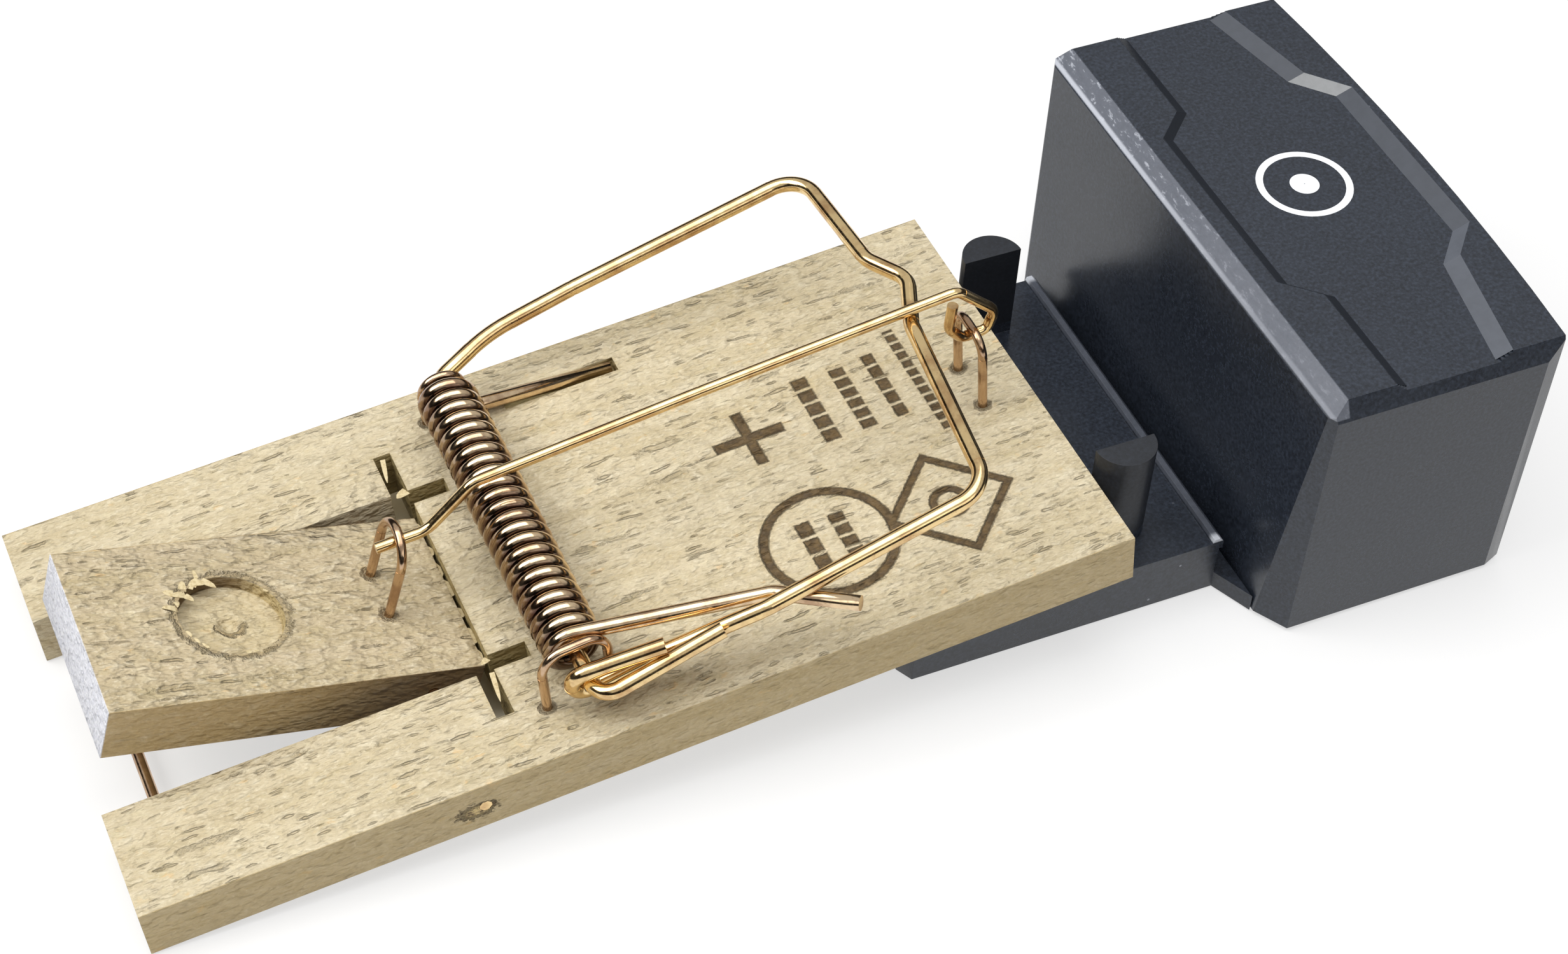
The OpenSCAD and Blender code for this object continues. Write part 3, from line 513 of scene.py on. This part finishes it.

# %% [markdown]
# The sensor unit is moulded in charcoal plastic with a fine grain. Handling leaves it dusty and
# scratched where it is touched most: along the top edge over the board, and on the dock's ridge
# beside the posts. Both are also painted pale as painted highlights. A painted mask could say
# where. A product of steps along x, y and z says it too, stays sharp at any distance, and moves
# along when a size of the housing is changed.

# %% Charcoal plastic
def moulded(name, base, rough):
    """Plastic of this colour with a grain, a haze, dust, scratched edges and painted highlights."""
    plastic = Finish(name, IOR=1.5)
    spot = plastic.place(standing)
    x, y, z = plastic.split(spot)
    grain = plastic.noise(spot, 2.8, 3.0, 0.65)
    haze = plastic.noise(spot, 0.10, 3.0, 0.55)
    dust_seed = plastic.split(plastic.cells(spot, 0.35, out=1))[0]
    dust = plastic.cells(spot, 0.35).rise(0.060, 0.035) * dust_seed.rise(0.80, 0.90)
    tone = plastic.mix(haze.rise(0.35, 0.70) * 0.4, base, shade(base, 1.3))
    tone = plastic.mix(grain.rise(0.50, 0.64) * 0.6, tone, shade(base, 2.0))
    tone = plastic.mix(grain.rise(0.48, 0.36) * 0.6, tone, shade(base, 0.4))
    # The edge over the board and the dock's ridge are scratched and painted pale as painted highlights
    scratch = plastic.noise(plastic.join(x * 1.9, y * 0.7, z * 1.9), 1.0, 4.0, 0.72)
    rubbed_and_lit_chamfer = z.rise(HOUSING_H - 1.75, HOUSING_H - 1.6) * x.rise(HOUSING_X + 3.35, HOUSING_X + 3.15)
    tone = plastic.mix(rubbed_and_lit_chamfer * (0.40 + 0.4 * scratch), tone, colour(122, 126, 136))
    # Painted light: the chamfer's scratches are painted brighter towards the back
    painted_light_to_back = y.rise(-14.0, 16.0) * 0.55 + 0.12
    tone = plastic.mix(rubbed_and_lit_chamfer * scratch.rise(0.55, 0.66) * painted_light_to_back, tone, colour(190, 194, 204))
    # Painted highlight: a pale line along the chamfer's outer edge
    line = rubbed_and_lit_chamfer * x.rise(HOUSING_X + 1.95, HOUSING_X + 1.75)
    tone = plastic.mix(line * (y.rise(-20.0, 22.0) * 0.6 + 0.2), tone, colour(196, 200, 210))
    ridge_wear_and_highlight = (z.rise(DOCK_H + 0.05, DOCK_H + 0.25) * z.rise(DOCK_H + 0.9, DOCK_H + 0.7)
             * x.rise(DOCK_END - 1.8, DOCK_END - 1.5) * x.rise(DOCK_END + 0.6, DOCK_END + 0.3))
    tone = plastic.mix(ridge_wear_and_highlight * (0.25 + 0.5 * scratch), tone, colour(100, 104, 114))
    # Painted highlights: the ridge is painted brightest at its ends
    tone = plastic.mix(ridge_wear_and_highlight * abs(y).rise(19.4, 20.2), tone, colour(190, 194, 202))
    tone = plastic.mix(dust * 0.6, tone, colour(176, 180, 190))
    # The clip posts are rubbed dull and dark by the board's end
    posts = z.rise(DOCK_H + 1.2, DOCK_H + 1.5) * x.rise(DOCK_END - 1.0, DOCK_END - 1.4)
    tone = plastic.mix(posts * 0.6, tone, colour(20, 21, 24))
    plastic.set(Base_Color=tone,
                Roughness=rough + 0.08 * haze.rise(0.3, 0.7) + 0.2 * dust + 0.16 * posts,
                Normal=plastic.bump(grain, 0.14, 0.05 * MM))
    return plastic


case_plastic = moulded("charcoal_plastic", colour(36, 41, 50), 0.24)
dress(case_plastic, "sensor_base", "housing_cover", "battery_door")
print("nodes in the plastic's finish:", len(case_plastic.tree.nodes))

# %% [markdown]
# The pieces inside the housing are seen only when somebody takes it apart. One short recipe
# serves them all: a colour, a little unevenness, and Metallic at one for the plated ones.

# %% The hidden pieces
def plain(name, tone, rough, metallic=0.0):
    """One colour with a little unevenness."""
    finish = Finish(name, Metallic=metallic)
    cloud = finish.noise(finish.place(), 0.8, 3.0, 0.6)
    finish.set(Base_Color=finish.mix(cloud.rise(0.3, 0.7) * 0.4, tone, shade(tone, 0.7)),
               Roughness=rough + 0.1 * cloud)
    return finish


dress(plain("seal_rubber", colour(30, 30, 32), 0.8), "housing_seal")
dress(plain("plated_steel", colour(196, 198, 202), 0.25, 1.0),
      "battery_cell", "contact_spring", "contact_plate", "radio_module", "case_screws", "board_screws")
dress(plain("solder_mask", colour(20, 92, 48), 0.35), "circuit_board")
dress(plain("chip_black", colour(24, 24, 26), 0.5), "motion_sensor")
dress(plain("gilt_strip", colour(226, 188, 104), 0.25, 1.0), "antenna")
print("finishes:", len(bpy.data.materials))

# %% [markdown]
# The solids have sharp edges, as drawn. Neither a mould nor sandpaper leaves those, so a bevel of
# a tenth to a third of a millimetre rounds them. It could be cut into the solids, but there it
# would cost much and carry nothing. Here the solid itself isn't touched: modifiers weld its
# doubled corners and round its edges on top.

# %% Softened edges
def soften(name, width, segments, angle=25):
    """Rounds every edge that turns by more than the angle, to a width in millimetres."""
    piece = nodes[name]
    weld = piece.modifiers.new("weld", "WELD")
    weld.merge_threshold = 0.002 * MM
    bevel = piece.modifiers.new("bevel", "BEVEL")
    bevel.width = width * MM
    bevel.segments = segments
    bevel.limit_method = "ANGLE"
    bevel.angle_limit = math.radians(angle)
    bevel.harden_normals = True


for name, width, segments in (("housing_cover", 0.35, 3), ("sensor_base", 0.22, 2),
                              ("board", 0.12, 2), ("treadle", 0.12, 2)):
    soften(name, width, segments)
    print(name, "softened by", width)

# %% [markdown]
# The torsion spring is what drives the trap: twenty-two turns round the axle, one leg in a groove
# of the board and the other under the hammer's arm. As the hammer swings over, every turn twists
# a little further than the last. A rigid spring could only stand still or swing as a whole, and
# one of its legs would tear loose. Here the spring is a mesh swept along its own line, at rest.

# %% A wire along a line
def sweep(name, path, radius, sides=14):
    """A round wire along a line of points, its section carried along without twisting."""
    points = [Vector(p) for p in path]
    tangents = [(points[min(i + 1, len(points) - 1)] - points[max(i - 1, 0)]).normalized()
                for i in range(len(points))]
    across = tangents[0].orthogonal().normalized()
    verts, faces = [], []
    for i, (point, tangent) in enumerate(zip(points, tangents)):
        across = (across - across.dot(tangent) * tangent).normalized()
        other = tangent.cross(across)
        for k in range(sides):
            a = 2 * math.pi * k / sides
            verts.append(point + radius * (math.cos(a) * across + math.sin(a) * other))
    last = len(points) - 1
    for i in range(last):
        for k in range(sides):
            a, b = i * sides + k, i * sides + (k + 1) % sides
            faces.append((a, b, b + sides, a + sides))
    faces.append(tuple(reversed(range(sides))))
    faces.append(tuple(last * sides + k for k in range(sides)))
    mesh = bpy.data.meshes.new(name)
    mesh.from_pydata(verts, [], faces)
    mesh.polygons.foreach_set("use_smooth", [len(p.vertices) == 4 for p in mesh.polygons])
    piece = bpy.data.objects.new(name, mesh)
    bpy.context.scene.collection.objects.link(piece)
    return piece


def rounded(corners, radii, steps=8):
    """The line through corners, each rounded to about its radius."""
    line = [Vector(corners[0])]
    for i in range(1, len(corners) - 1):
        here = Vector(corners[i])
        back, on = (Vector(corners[i - 1]) - here), (Vector(corners[i + 1]) - here)
        half = back.angle(on) / 2
        cut = min(radii[i] / math.tan(half), 0.45 * back.length, 0.45 * on.length)
        start, end = here + back.normalized() * cut, here + on.normalized() * cut
        for k in range(steps + 1):
            t = k / steps
            line.append(start * (1 - t) ** 2 + here * 2 * t * (1 - t) + end * t ** 2)
    line.append(Vector(corners[-1]))
    return line


print("helpers ready: sweep, rounded")

# %% The spring's line
TURNS, COIL_GAP, PER_TURN = 22, 0.055, 28
BACK_LEG, FRONT_LEG = 17.1, 18.4
HAMMER_D, ARM_FRONT, REST_GAP = 1.6, -21.6, 0.12
HAMMER_SET = math.radians(10.9)
HOOK_ALONG, HOOK_OUT = 6.4, 3.6
coil_r = (COIL_D - SPRING_D) / 2
pitch = SPRING_D + COIL_GAP
back_end = (AXLE.x + BACK_LEG, COIL_BACK + 0.6, BOARD_T - 0.55)
arm_under = (HAMMER_D + SPRING_D) / 2 + REST_GAP
leg_x = AXLE.x + FRONT_LEG
hook = (leg_x + HOOK_ALONG, ARM_FRONT - HOOK_OUT)
# Where the hook crosses below the hammer's arm, and how high it is there
under_x = leg_x + (hook[0] - leg_x) * 0.45
under_z = AXLE.z + (under_x - AXLE.x) * math.tan(HAMMER_SET) - arm_under / math.cos(HAMMER_SET)
hook_slope = math.tan(HAMMER_SET) - 0.06
leg_end = (leg_x, ARM_FRONT + 1.7, under_z - (under_x - leg_x) * hook_slope)
hook_end = (hook[0], hook[1], under_z + (hook[0] - under_x) * hook_slope)
line = [back_end]
line += rounded([back_end, (AXLE.x + 0.4, COIL_BACK, AXLE.z - coil_r),
                 (AXLE.x, COIL_BACK, AXLE.z - coil_r)], [0, 0.3, 0], 3)[1:-1]
for i in range(int((TURNS + 0.5) * PER_TURN) + 1):
    a = math.radians(-90) - 2 * math.pi * i / PER_TURN
    line.append(Vector((AXLE.x + coil_r * math.cos(a), COIL_BACK - i * pitch / PER_TURN,
                        AXLE.z + coil_r * math.sin(a))))
line += rounded([line[-1], leg_end, hook_end], [0, 2.2, 0])[1:]
print("spring points:", len(line))

# %% The torsion spring
spring = sweep("torsion_spring_wire", [on_board(*p) for p in line], SPRING_D / 2 * MM)
spring.data.materials.append(spring_wire.material)
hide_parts("torsion_spring")
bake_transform(spring)
print("spring faces:", len(spring.data.polygons))

# %% [markdown]
# A saw and a flat bit tear beech rather than cut it. Blunt flaps hang over the cut behind the
# treadle, slivers stand in the ends of that cut, and curls hang on the rim of the bait well. Hair
# would do for fur, but these are few and wide, so each one is a narrow blade of three faces,
# rooted in the wood. A modifier gives it the thickness.

# %% A blade of wood
def blades(name, body, to_here, roots, finish, blunt=0.05):
    """Tapered blades of wood: root, heading in degrees, length, width and lift in millimetres."""
    # Along a blade: the share of its length, half its width, and the share of its lift
    rows = ((0.0, 0.5, -0.15), (0.45, 0.45, 0.8), (0.8, 0.3, 1.0), (1.0, blunt, 0.55))
    verts, faces = [], []
    for (x, y, z), heading, length, width, lift in roots:
        a = math.radians(heading)
        on, side = Vector((math.cos(a), math.sin(a), 0)), Vector((-math.sin(a), math.cos(a), 0))
        first = len(verts)
        for share, half, rise in rows:
            middle = Vector((x, y, z)) + on * length * share + Vector((0, 0, lift * rise))
            verts += [middle + side * width * half, middle - side * width * half]
        for row in range(first, first + 6, 2):
            faces.append((row, row + 1, row + 3, row + 2))
    mesh = bpy.data.meshes.new(name)
    mesh.from_pydata([to_here @ v for v in verts], [], faces)
    mesh.materials.append(finish.material)
    thick = bpy.data.objects.new(name, mesh)
    bpy.context.scene.collection.objects.link(thick)
    shell = thick.modifiers.new("thickness", "SOLIDIFY")
    shell.thickness = 0.06 * MM
    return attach(thick, body)


def torn_wood(name, tone, brown):
    """Fresh fibres, striped between two colours."""
    finish = Finish(name, Roughness=0.8)
    stripe = finish.noise(finish.place(), 3.0, 2.0, 0.6)
    finish.set(Base_Color=finish.mix(stripe.rise(0.4, 0.7) * 0.6, tone, brown))
    return finish


fibre_finish = torn_wood("torn_fibre", colour(210, 194, 154), colour(168, 146, 100))
print("nodes in a fibre's finish:", len(fibre_finish.tree.nodes))

# %% [markdown]
# Chance shapes the fibres, but the same chance each time: the generator is seeded, and it is asked
# in the same order on every run. Long curls stand on the side of the well where the bit came out
# of the grain, short ones all round it.

# %% Torn fibres
chance = random.Random(7)
well_curls, kerf_fibres, board_fibres = [], [], []
for k in range(11):
    a = math.radians(chance.uniform(104, 172))
    r = WELL_R + chance.uniform(-0.3, 0.5)
    well_curls.append(((WELL_X + r * math.cos(a), r * math.sin(a), BOARD_T - 0.02),
                       math.degrees(a) + chance.choice((0, 180)) + chance.uniform(-80, 80),
                       chance.uniform(0.8, 1.9), chance.uniform(0.4, 0.9), chance.uniform(0.05, 0.3)))
for k in range(7):
    a = math.radians(chance.uniform(180, 440))
    r = WELL_R + 0.02
    well_curls.append(((WELL_X + r * math.cos(a), r * math.sin(a), BOARD_T - 0.03),
                       math.degrees(a) + 180 + chance.uniform(-40, 40),
                       chance.uniform(0.25, 0.5), chance.uniform(0.4, 1.0), 0.04))
for k in range(7):
    y = -8.9 + 2.95 * k + chance.uniform(-0.5, 0.5)
    kerf_fibres.append(((PIVOT_X + TREADLE_TAIL - 0.15, y, BOARD_T - 0.07), chance.uniform(-12, 12),
                        chance.uniform(0.4, 0.9), chance.uniform(1.3, 2.6), 0.01))
for x, y, heading, length, width in ((36.7, 17.3, -100, 3.2, 0.5), (37.5, 12.4, 205, 1.3, 1.0),
                                     (37.3, -12.3, -97, 3.6, 0.5), (37.5, -10.6, 215, 0.9, 0.7)):
    board_fibres.append(((x, y, BOARD_T - 0.20), heading, length, width, 0.10))
blades("bait_well_curls", "treadle", to_treadle, well_curls, fibre_finish)
blades("treadle_end_fibres", "treadle", to_treadle, kerf_fibres, fibre_finish, 0.24)
blades("saw_cut_fibres", "base", to_floor, board_fibres, fibre_finish)
print("fibres:", len(well_curls) + len(kerf_fibres) + len(board_fibres))

# %% [markdown]
# The pivot wire ends inside its hole, where it would be lost in the dark. On the real trap its
# cropped end catches the light in the torn mouth of the hole, so a small ragged disc of the same
# wire sits there. A flat face is enough for something that is seen only end on.

# %% The pivot wire's cropped end
END_R, END_RAG, END_CORNERS = 0.62, 0.06, 16
end_line = []
for k in range(END_CORNERS):
    a = 2 * math.pi * k / END_CORNERS
    end_line.append(on_board(PIVOT_X + END_R * math.cos(a), -BOARD_W / 2 - END_RAG * (1 - k % 2),
                             BOARD_T / 2 + END_R * math.sin(a)))
end_mesh = bpy.data.meshes.new("pivot_wire_end")
end_mesh.from_pydata(end_line, [], [tuple(range(END_CORNERS))])
end_mesh.materials.append(bright_wire.material)
wire_end = bpy.data.objects.new("pivot_wire_end", end_mesh)
bpy.context.scene.collection.objects.link(wire_end)
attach(wire_end, "base")
print("corners of the cropped end:", END_CORNERS)

# %% [markdown]
# The recess on top of the housing runs out in a slope on both sides. On the solid each slope is a
# stair of four fine steps, which is what it becomes when it is cut in layers, so a thin ribbon
# covers each: one row of faces between the recess's floor and its rim. The far slope is painted
# lighter as a painted reflection, its short bends most of all. The near one is painted darker as
# painted shade of its own edge.

# %% The recess's slopes
def strip(name, low_line, high_line, finish):
    """A single row of faces between two lines with the same number of points."""
    verts = [Vector(p) for p in low_line] + [Vector(p) for p in high_line]
    count = len(low_line)
    faces = [(i, i + 1, count + i + 1, count + i) for i in range(count - 1)]
    mesh = bpy.data.meshes.new(name)
    mesh.from_pydata([standing @ v for v in verts], [], faces)
    mesh.materials.append(finish.material)
    piece = bpy.data.objects.new(name, mesh)
    bpy.context.scene.collection.objects.link(piece)
    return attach(piece, "base")


SLOPE_END, SLOPE_FOOT, SLOPE_TOP = 27.45, HOUSING_H - 0.69, HOUSING_H + 0.012


def slope_line(shift, z):
    """The recess's far side from front to back, shifted outwards."""
    edge = HOUSING_END - 7.6 + shift
    waist, wide = 3.0, 6.5
    return [(edge + 0.4, -SLOPE_END, z), (edge + waist, -14.2, z), (edge + wide, -10.4, z),
            (edge + wide, 11.8, z), (edge + waist, 15.6, z), (edge + 0.4, SLOPE_END, z)]


slope_painted_light = plain("slope_plastic_painted_light", colour(68, 72, 80), 0.34)
slope = strip("recess_slope", slope_line(-0.46, SLOPE_FOOT), slope_line(1.34, SLOPE_TOP), slope_painted_light)
# Painted highlights: three short faces of the far slope are painted lighter still
for face, tone in ((0, colour(84, 88, 96)), (1, colour(92, 96, 104)), (3, colour(128, 130, 132))):
    slope.data.materials.append(plain(f"slope_plastic_painted_light_{face}", tone, 0.34).material)
    slope.data.polygons[face].material_index = len(slope.data.materials) - 1


def near_line(shift, z):
    """The recess's side over the board, from front to back."""
    edge = HOUSING_X + 6.1 + shift
    jog = 3.4
    return [(edge + jog, -SLOPE_END, z), (edge + jog, -14.4, z), (edge, -11.2, z),
            (edge, 11.5, z), (edge + jog, 14.8, z), (edge + jog, SLOPE_END, z)]


# Painted shade: the near slope is painted darker
near_slope = strip("recess_slope_near", near_line(0.32, SLOPE_FOOT), near_line(-0.95, SLOPE_TOP),
                   plain("shaded_plastic", colour(31, 35, 42), 0.42))
print("faces of the two slopes:", len(slope.data.polygons), len(near_slope.data.polygons))

# %% [markdown]
# A plain ring with a dot is printed on the recess's floor, where such a unit carries a mark. The
# same strip, bent into a circle a fiftieth of a millimetre above the plastic, is the ink.

# %% The printed ring
RING_X, RING_Y, RING_CORNERS = HOUSING_X + 15.59, 1.0, 48


def printed_ring(name, radius, line):
    """A flat ring of this outer radius and line width."""
    turns = [2 * math.pi * k / RING_CORNERS for k in range(RING_CORNERS + 1)]
    z = HOUSING_H - RECESS + 0.02

    def circle(r):
        return [(RING_X + r * math.cos(a), RING_Y + r * math.sin(a), z) for a in turns]

    return strip(name, circle(radius - line), circle(radius), print_finish)


print_finish = plain("white_print", colour(232, 234, 238), 0.5)
for number, (radius, line) in enumerate(((4.9, 0.75), (1.5, 1.45))):
    printed_ring(f"printed_ring_{number + 1}", radius, line)
    print("ring of radius", radius)

# %% [markdown]
# The set is a pale floor. It glows a little, but only towards the camera and in mirrors, so that
# it looks nearly white without lighting the trap from below, and it keeps the trap's shadow.
# Through the saw cuts the glow would show as white specks in dark wood, so a small patch beneath
# them doesn't glow and is painted a warmer, darker tone as painted shade.

# %% The floor
floor_mesh = bpy.data.meshes.new("floor")
half = 3.0
floor_mesh.from_pydata([(-half, -half, 0), (half, -half, 0), (half, half, 0), (-half, half, 0)],
                       [], [(0, 1, 2, 3)])
floor = bpy.data.objects.new("floor", floor_mesh)
floor.location.z = -0.0002
bpy.context.scene.collection.objects.link(floor)
floor_finish = Finish("floor_white", Roughness=0.9)
seen = floor_finish.add("ShaderNodeLightPath", out=0)
mirrored = floor_finish.add("ShaderNodeLightPath", out=3)
through = floor_finish.add("ShaderNodeLightPath", out=6)
glow = floor_finish.add("ShaderNodeEmission", None, {"Color": (1, 1, 1, 1), "Strength": 1.0})
diffuse = Signal(floor_finish, floor_finish.shader.outputs[0])
floor_x, floor_y, _ = floor_finish.split(floor_finish.place())
# Painted shade: the patch under the cuts doesn't glow and is painted a warmer, darker tone
painted_shade_patch = floor_x.rise(-38.0, -36.0) * floor_x.rise(-22.0, -26.0)
painted_shade_patch = painted_shade_patch * floor_y.rise(-15.0, -13.0) * floor_y.rise(23.5, 22.0)
floor_finish.set(Base_Color=floor_finish.mix(painted_shade_patch, colour(244, 244, 244), colour(226, 218, 196)))
share = (seen * 0.6).at_least((mirrored + through) * 0.95) * (1.0 - painted_shade_patch)
blend = floor_finish.add("ShaderNodeMixShader", None, {0: share, 1: diffuse, 2: glow})
target = next(n for n in floor_finish.tree.nodes if n.type == "OUTPUT_MATERIAL")
floor_finish.tree.links.new(blend.socket, target.inputs["Surface"])
floor_mesh.materials.append(floor_finish.material)
print("nodes in the floor's finish:", len(floor_finish.tree.nodes))

# %% [markdown]
# The world is a plain light from everywhere. It is white where the camera looks past the floor,
# and dimmer on the object, so that the lamps still give it a bright and a shaded side.

# %% The world
world = bpy.data.worlds.new("studio")
bpy.context.scene.world = world
world.use_nodes = True
air = world.node_tree
air.nodes.clear()
path = air.nodes.new("ShaderNodeLightPath")
lift = air.nodes.new("ShaderNodeMath")
lift.operation = "MAXIMUM"
air.links.new(path.outputs["Is Camera Ray"], lift.inputs[0])
air.links.new(path.outputs["Is Transmission Ray"], lift.inputs[1])
level = air.nodes.new("ShaderNodeMapRange")
level.inputs["To Min"].default_value = 0.60
level.inputs["To Max"].default_value = 1.0
air.links.new(lift.outputs[0], level.inputs["Value"])
background = air.nodes.new("ShaderNodeBackground")
background.inputs["Color"].default_value = (1, 1, 1, 1)
air.links.new(level.outputs[0], background.inputs["Strength"])
surroundings = air.nodes.new("ShaderNodeOutputWorld")
air.links.new(background.outputs[0], surroundings.inputs["Surface"])
print("world nodes:", len(air.nodes))

# %% [markdown]
# Wire needs something wide to mirror, so the lamps are soft boxes. The main one hangs to the
# left, a second one above gives the long highlights along the coil, and a weak one fills from the
# front. All three stay at a plain level.

# %% Lamps
def lamp(name, place, aim, width, height, power, tint=(1, 1, 1)):
    """A soft box at a place, turned to what it lights; sizes in metres, power in watts."""
    data = bpy.data.lights.new(name, "AREA")
    data.shape = "RECTANGLE"
    data.size, data.size_y = width, height
    data.energy = power
    data.color = tint
    holder = bpy.data.objects.new(name, data)
    holder.location = place
    holder.rotation_mode = "QUATERNION"
    holder.rotation_quaternion = (Vector(aim) - Vector(place)).to_track_quat("-Z", "Y")
    bpy.context.scene.collection.objects.link(holder)
    print(name, "of", power, "W")


lamp("key_lamp", (-0.42, 0.10, 0.48), (0, 0, 0.01), 0.40, 0.40, 2.6, (1.0, 0.99, 0.97))
lamp("top_lamp", (0.0, 0.0, 0.55), (0, 0, 0.01), 0.50, 0.50, 1.9)
lamp("fill_lamp", (0.15, -0.55, 0.35), (0, 0, 0.01), 0.5, 0.25, 0.5, (1.0, 0.98, 0.95))

# %% [markdown]
# Bright metal in an all white room looks like chalk. Four black cards stand on edge round the
# set, as a studio does it, and give each wire its dark sides. The camera doesn't see them.

# %% Black cards
def flag(name, x, y, wide, tall, turn):
    """A black card of this width and height, turned about the upright through its middle."""
    half = wide / 2
    mesh = bpy.data.meshes.new(name)
    mesh.from_pydata([(-half, 0, 0), (half, 0, 0), (half, 0, tall), (-half, 0, tall)], [], [(0, 1, 2, 3)])
    card = bpy.data.objects.new(name, mesh)
    card.location = (x, y, 0.0)
    card.rotation_euler = (0, 0, math.radians(turn))
    card.visible_camera = False
    mesh.materials.append(flag_black.material)
    bpy.context.scene.collection.objects.link(card)


flag_black = Finish("flag_black", Base_Color=colour(26, 22, 20), Roughness=0.9)
flag("back_flag", 0.0, 0.62, 1.3, 0.44, 0)
flag("front_flag", 0.0, -0.62, 1.3, 0.40, 0)
flag("left_flag", -0.65, 0.0, 1.24, 0.56, 90)
flag("right_flag", 0.65, 0.0, 1.24, 0.40, 90)
print("cards stand round the set")

# %% [markdown]
# The camera looks down at the trap from its front and left, with a lens of about seventy
# millimetres. Its place and the two directions that aim it are all it needs: the third direction
# is at right angles to both.

# %% The camera
CAMERA_AT = Vector((-0.0913, -0.18455, 0.2260))
AHEAD = Vector((0.3107, 0.618, -0.7222))
UPWARDS = Vector((0.2623, 0.6746, 0.69))
camera = bpy.data.objects.new("camera", bpy.data.cameras.new("camera"))
bpy.context.scene.collection.objects.link(camera)
bpy.context.scene.camera = camera
camera.data.sensor_fit = "HORIZONTAL"
camera.data.sensor_width = 36.0
camera.data.lens = 69.72
camera.data.clip_start, camera.data.clip_end = 0.01, 20
ahead = AHEAD.normalized()
right = ahead.cross(UPWARDS).normalized()
turn = Matrix((right, right.cross(ahead).normalized(), -ahead)).transposed()
camera.matrix_world = Matrix.Translation(CAMERA_AT) @ turn.to_4x4()
bpy.context.scene.view_settings.view_transform = "Standard"
print("camera", [round(v, 4) for v in camera.location])
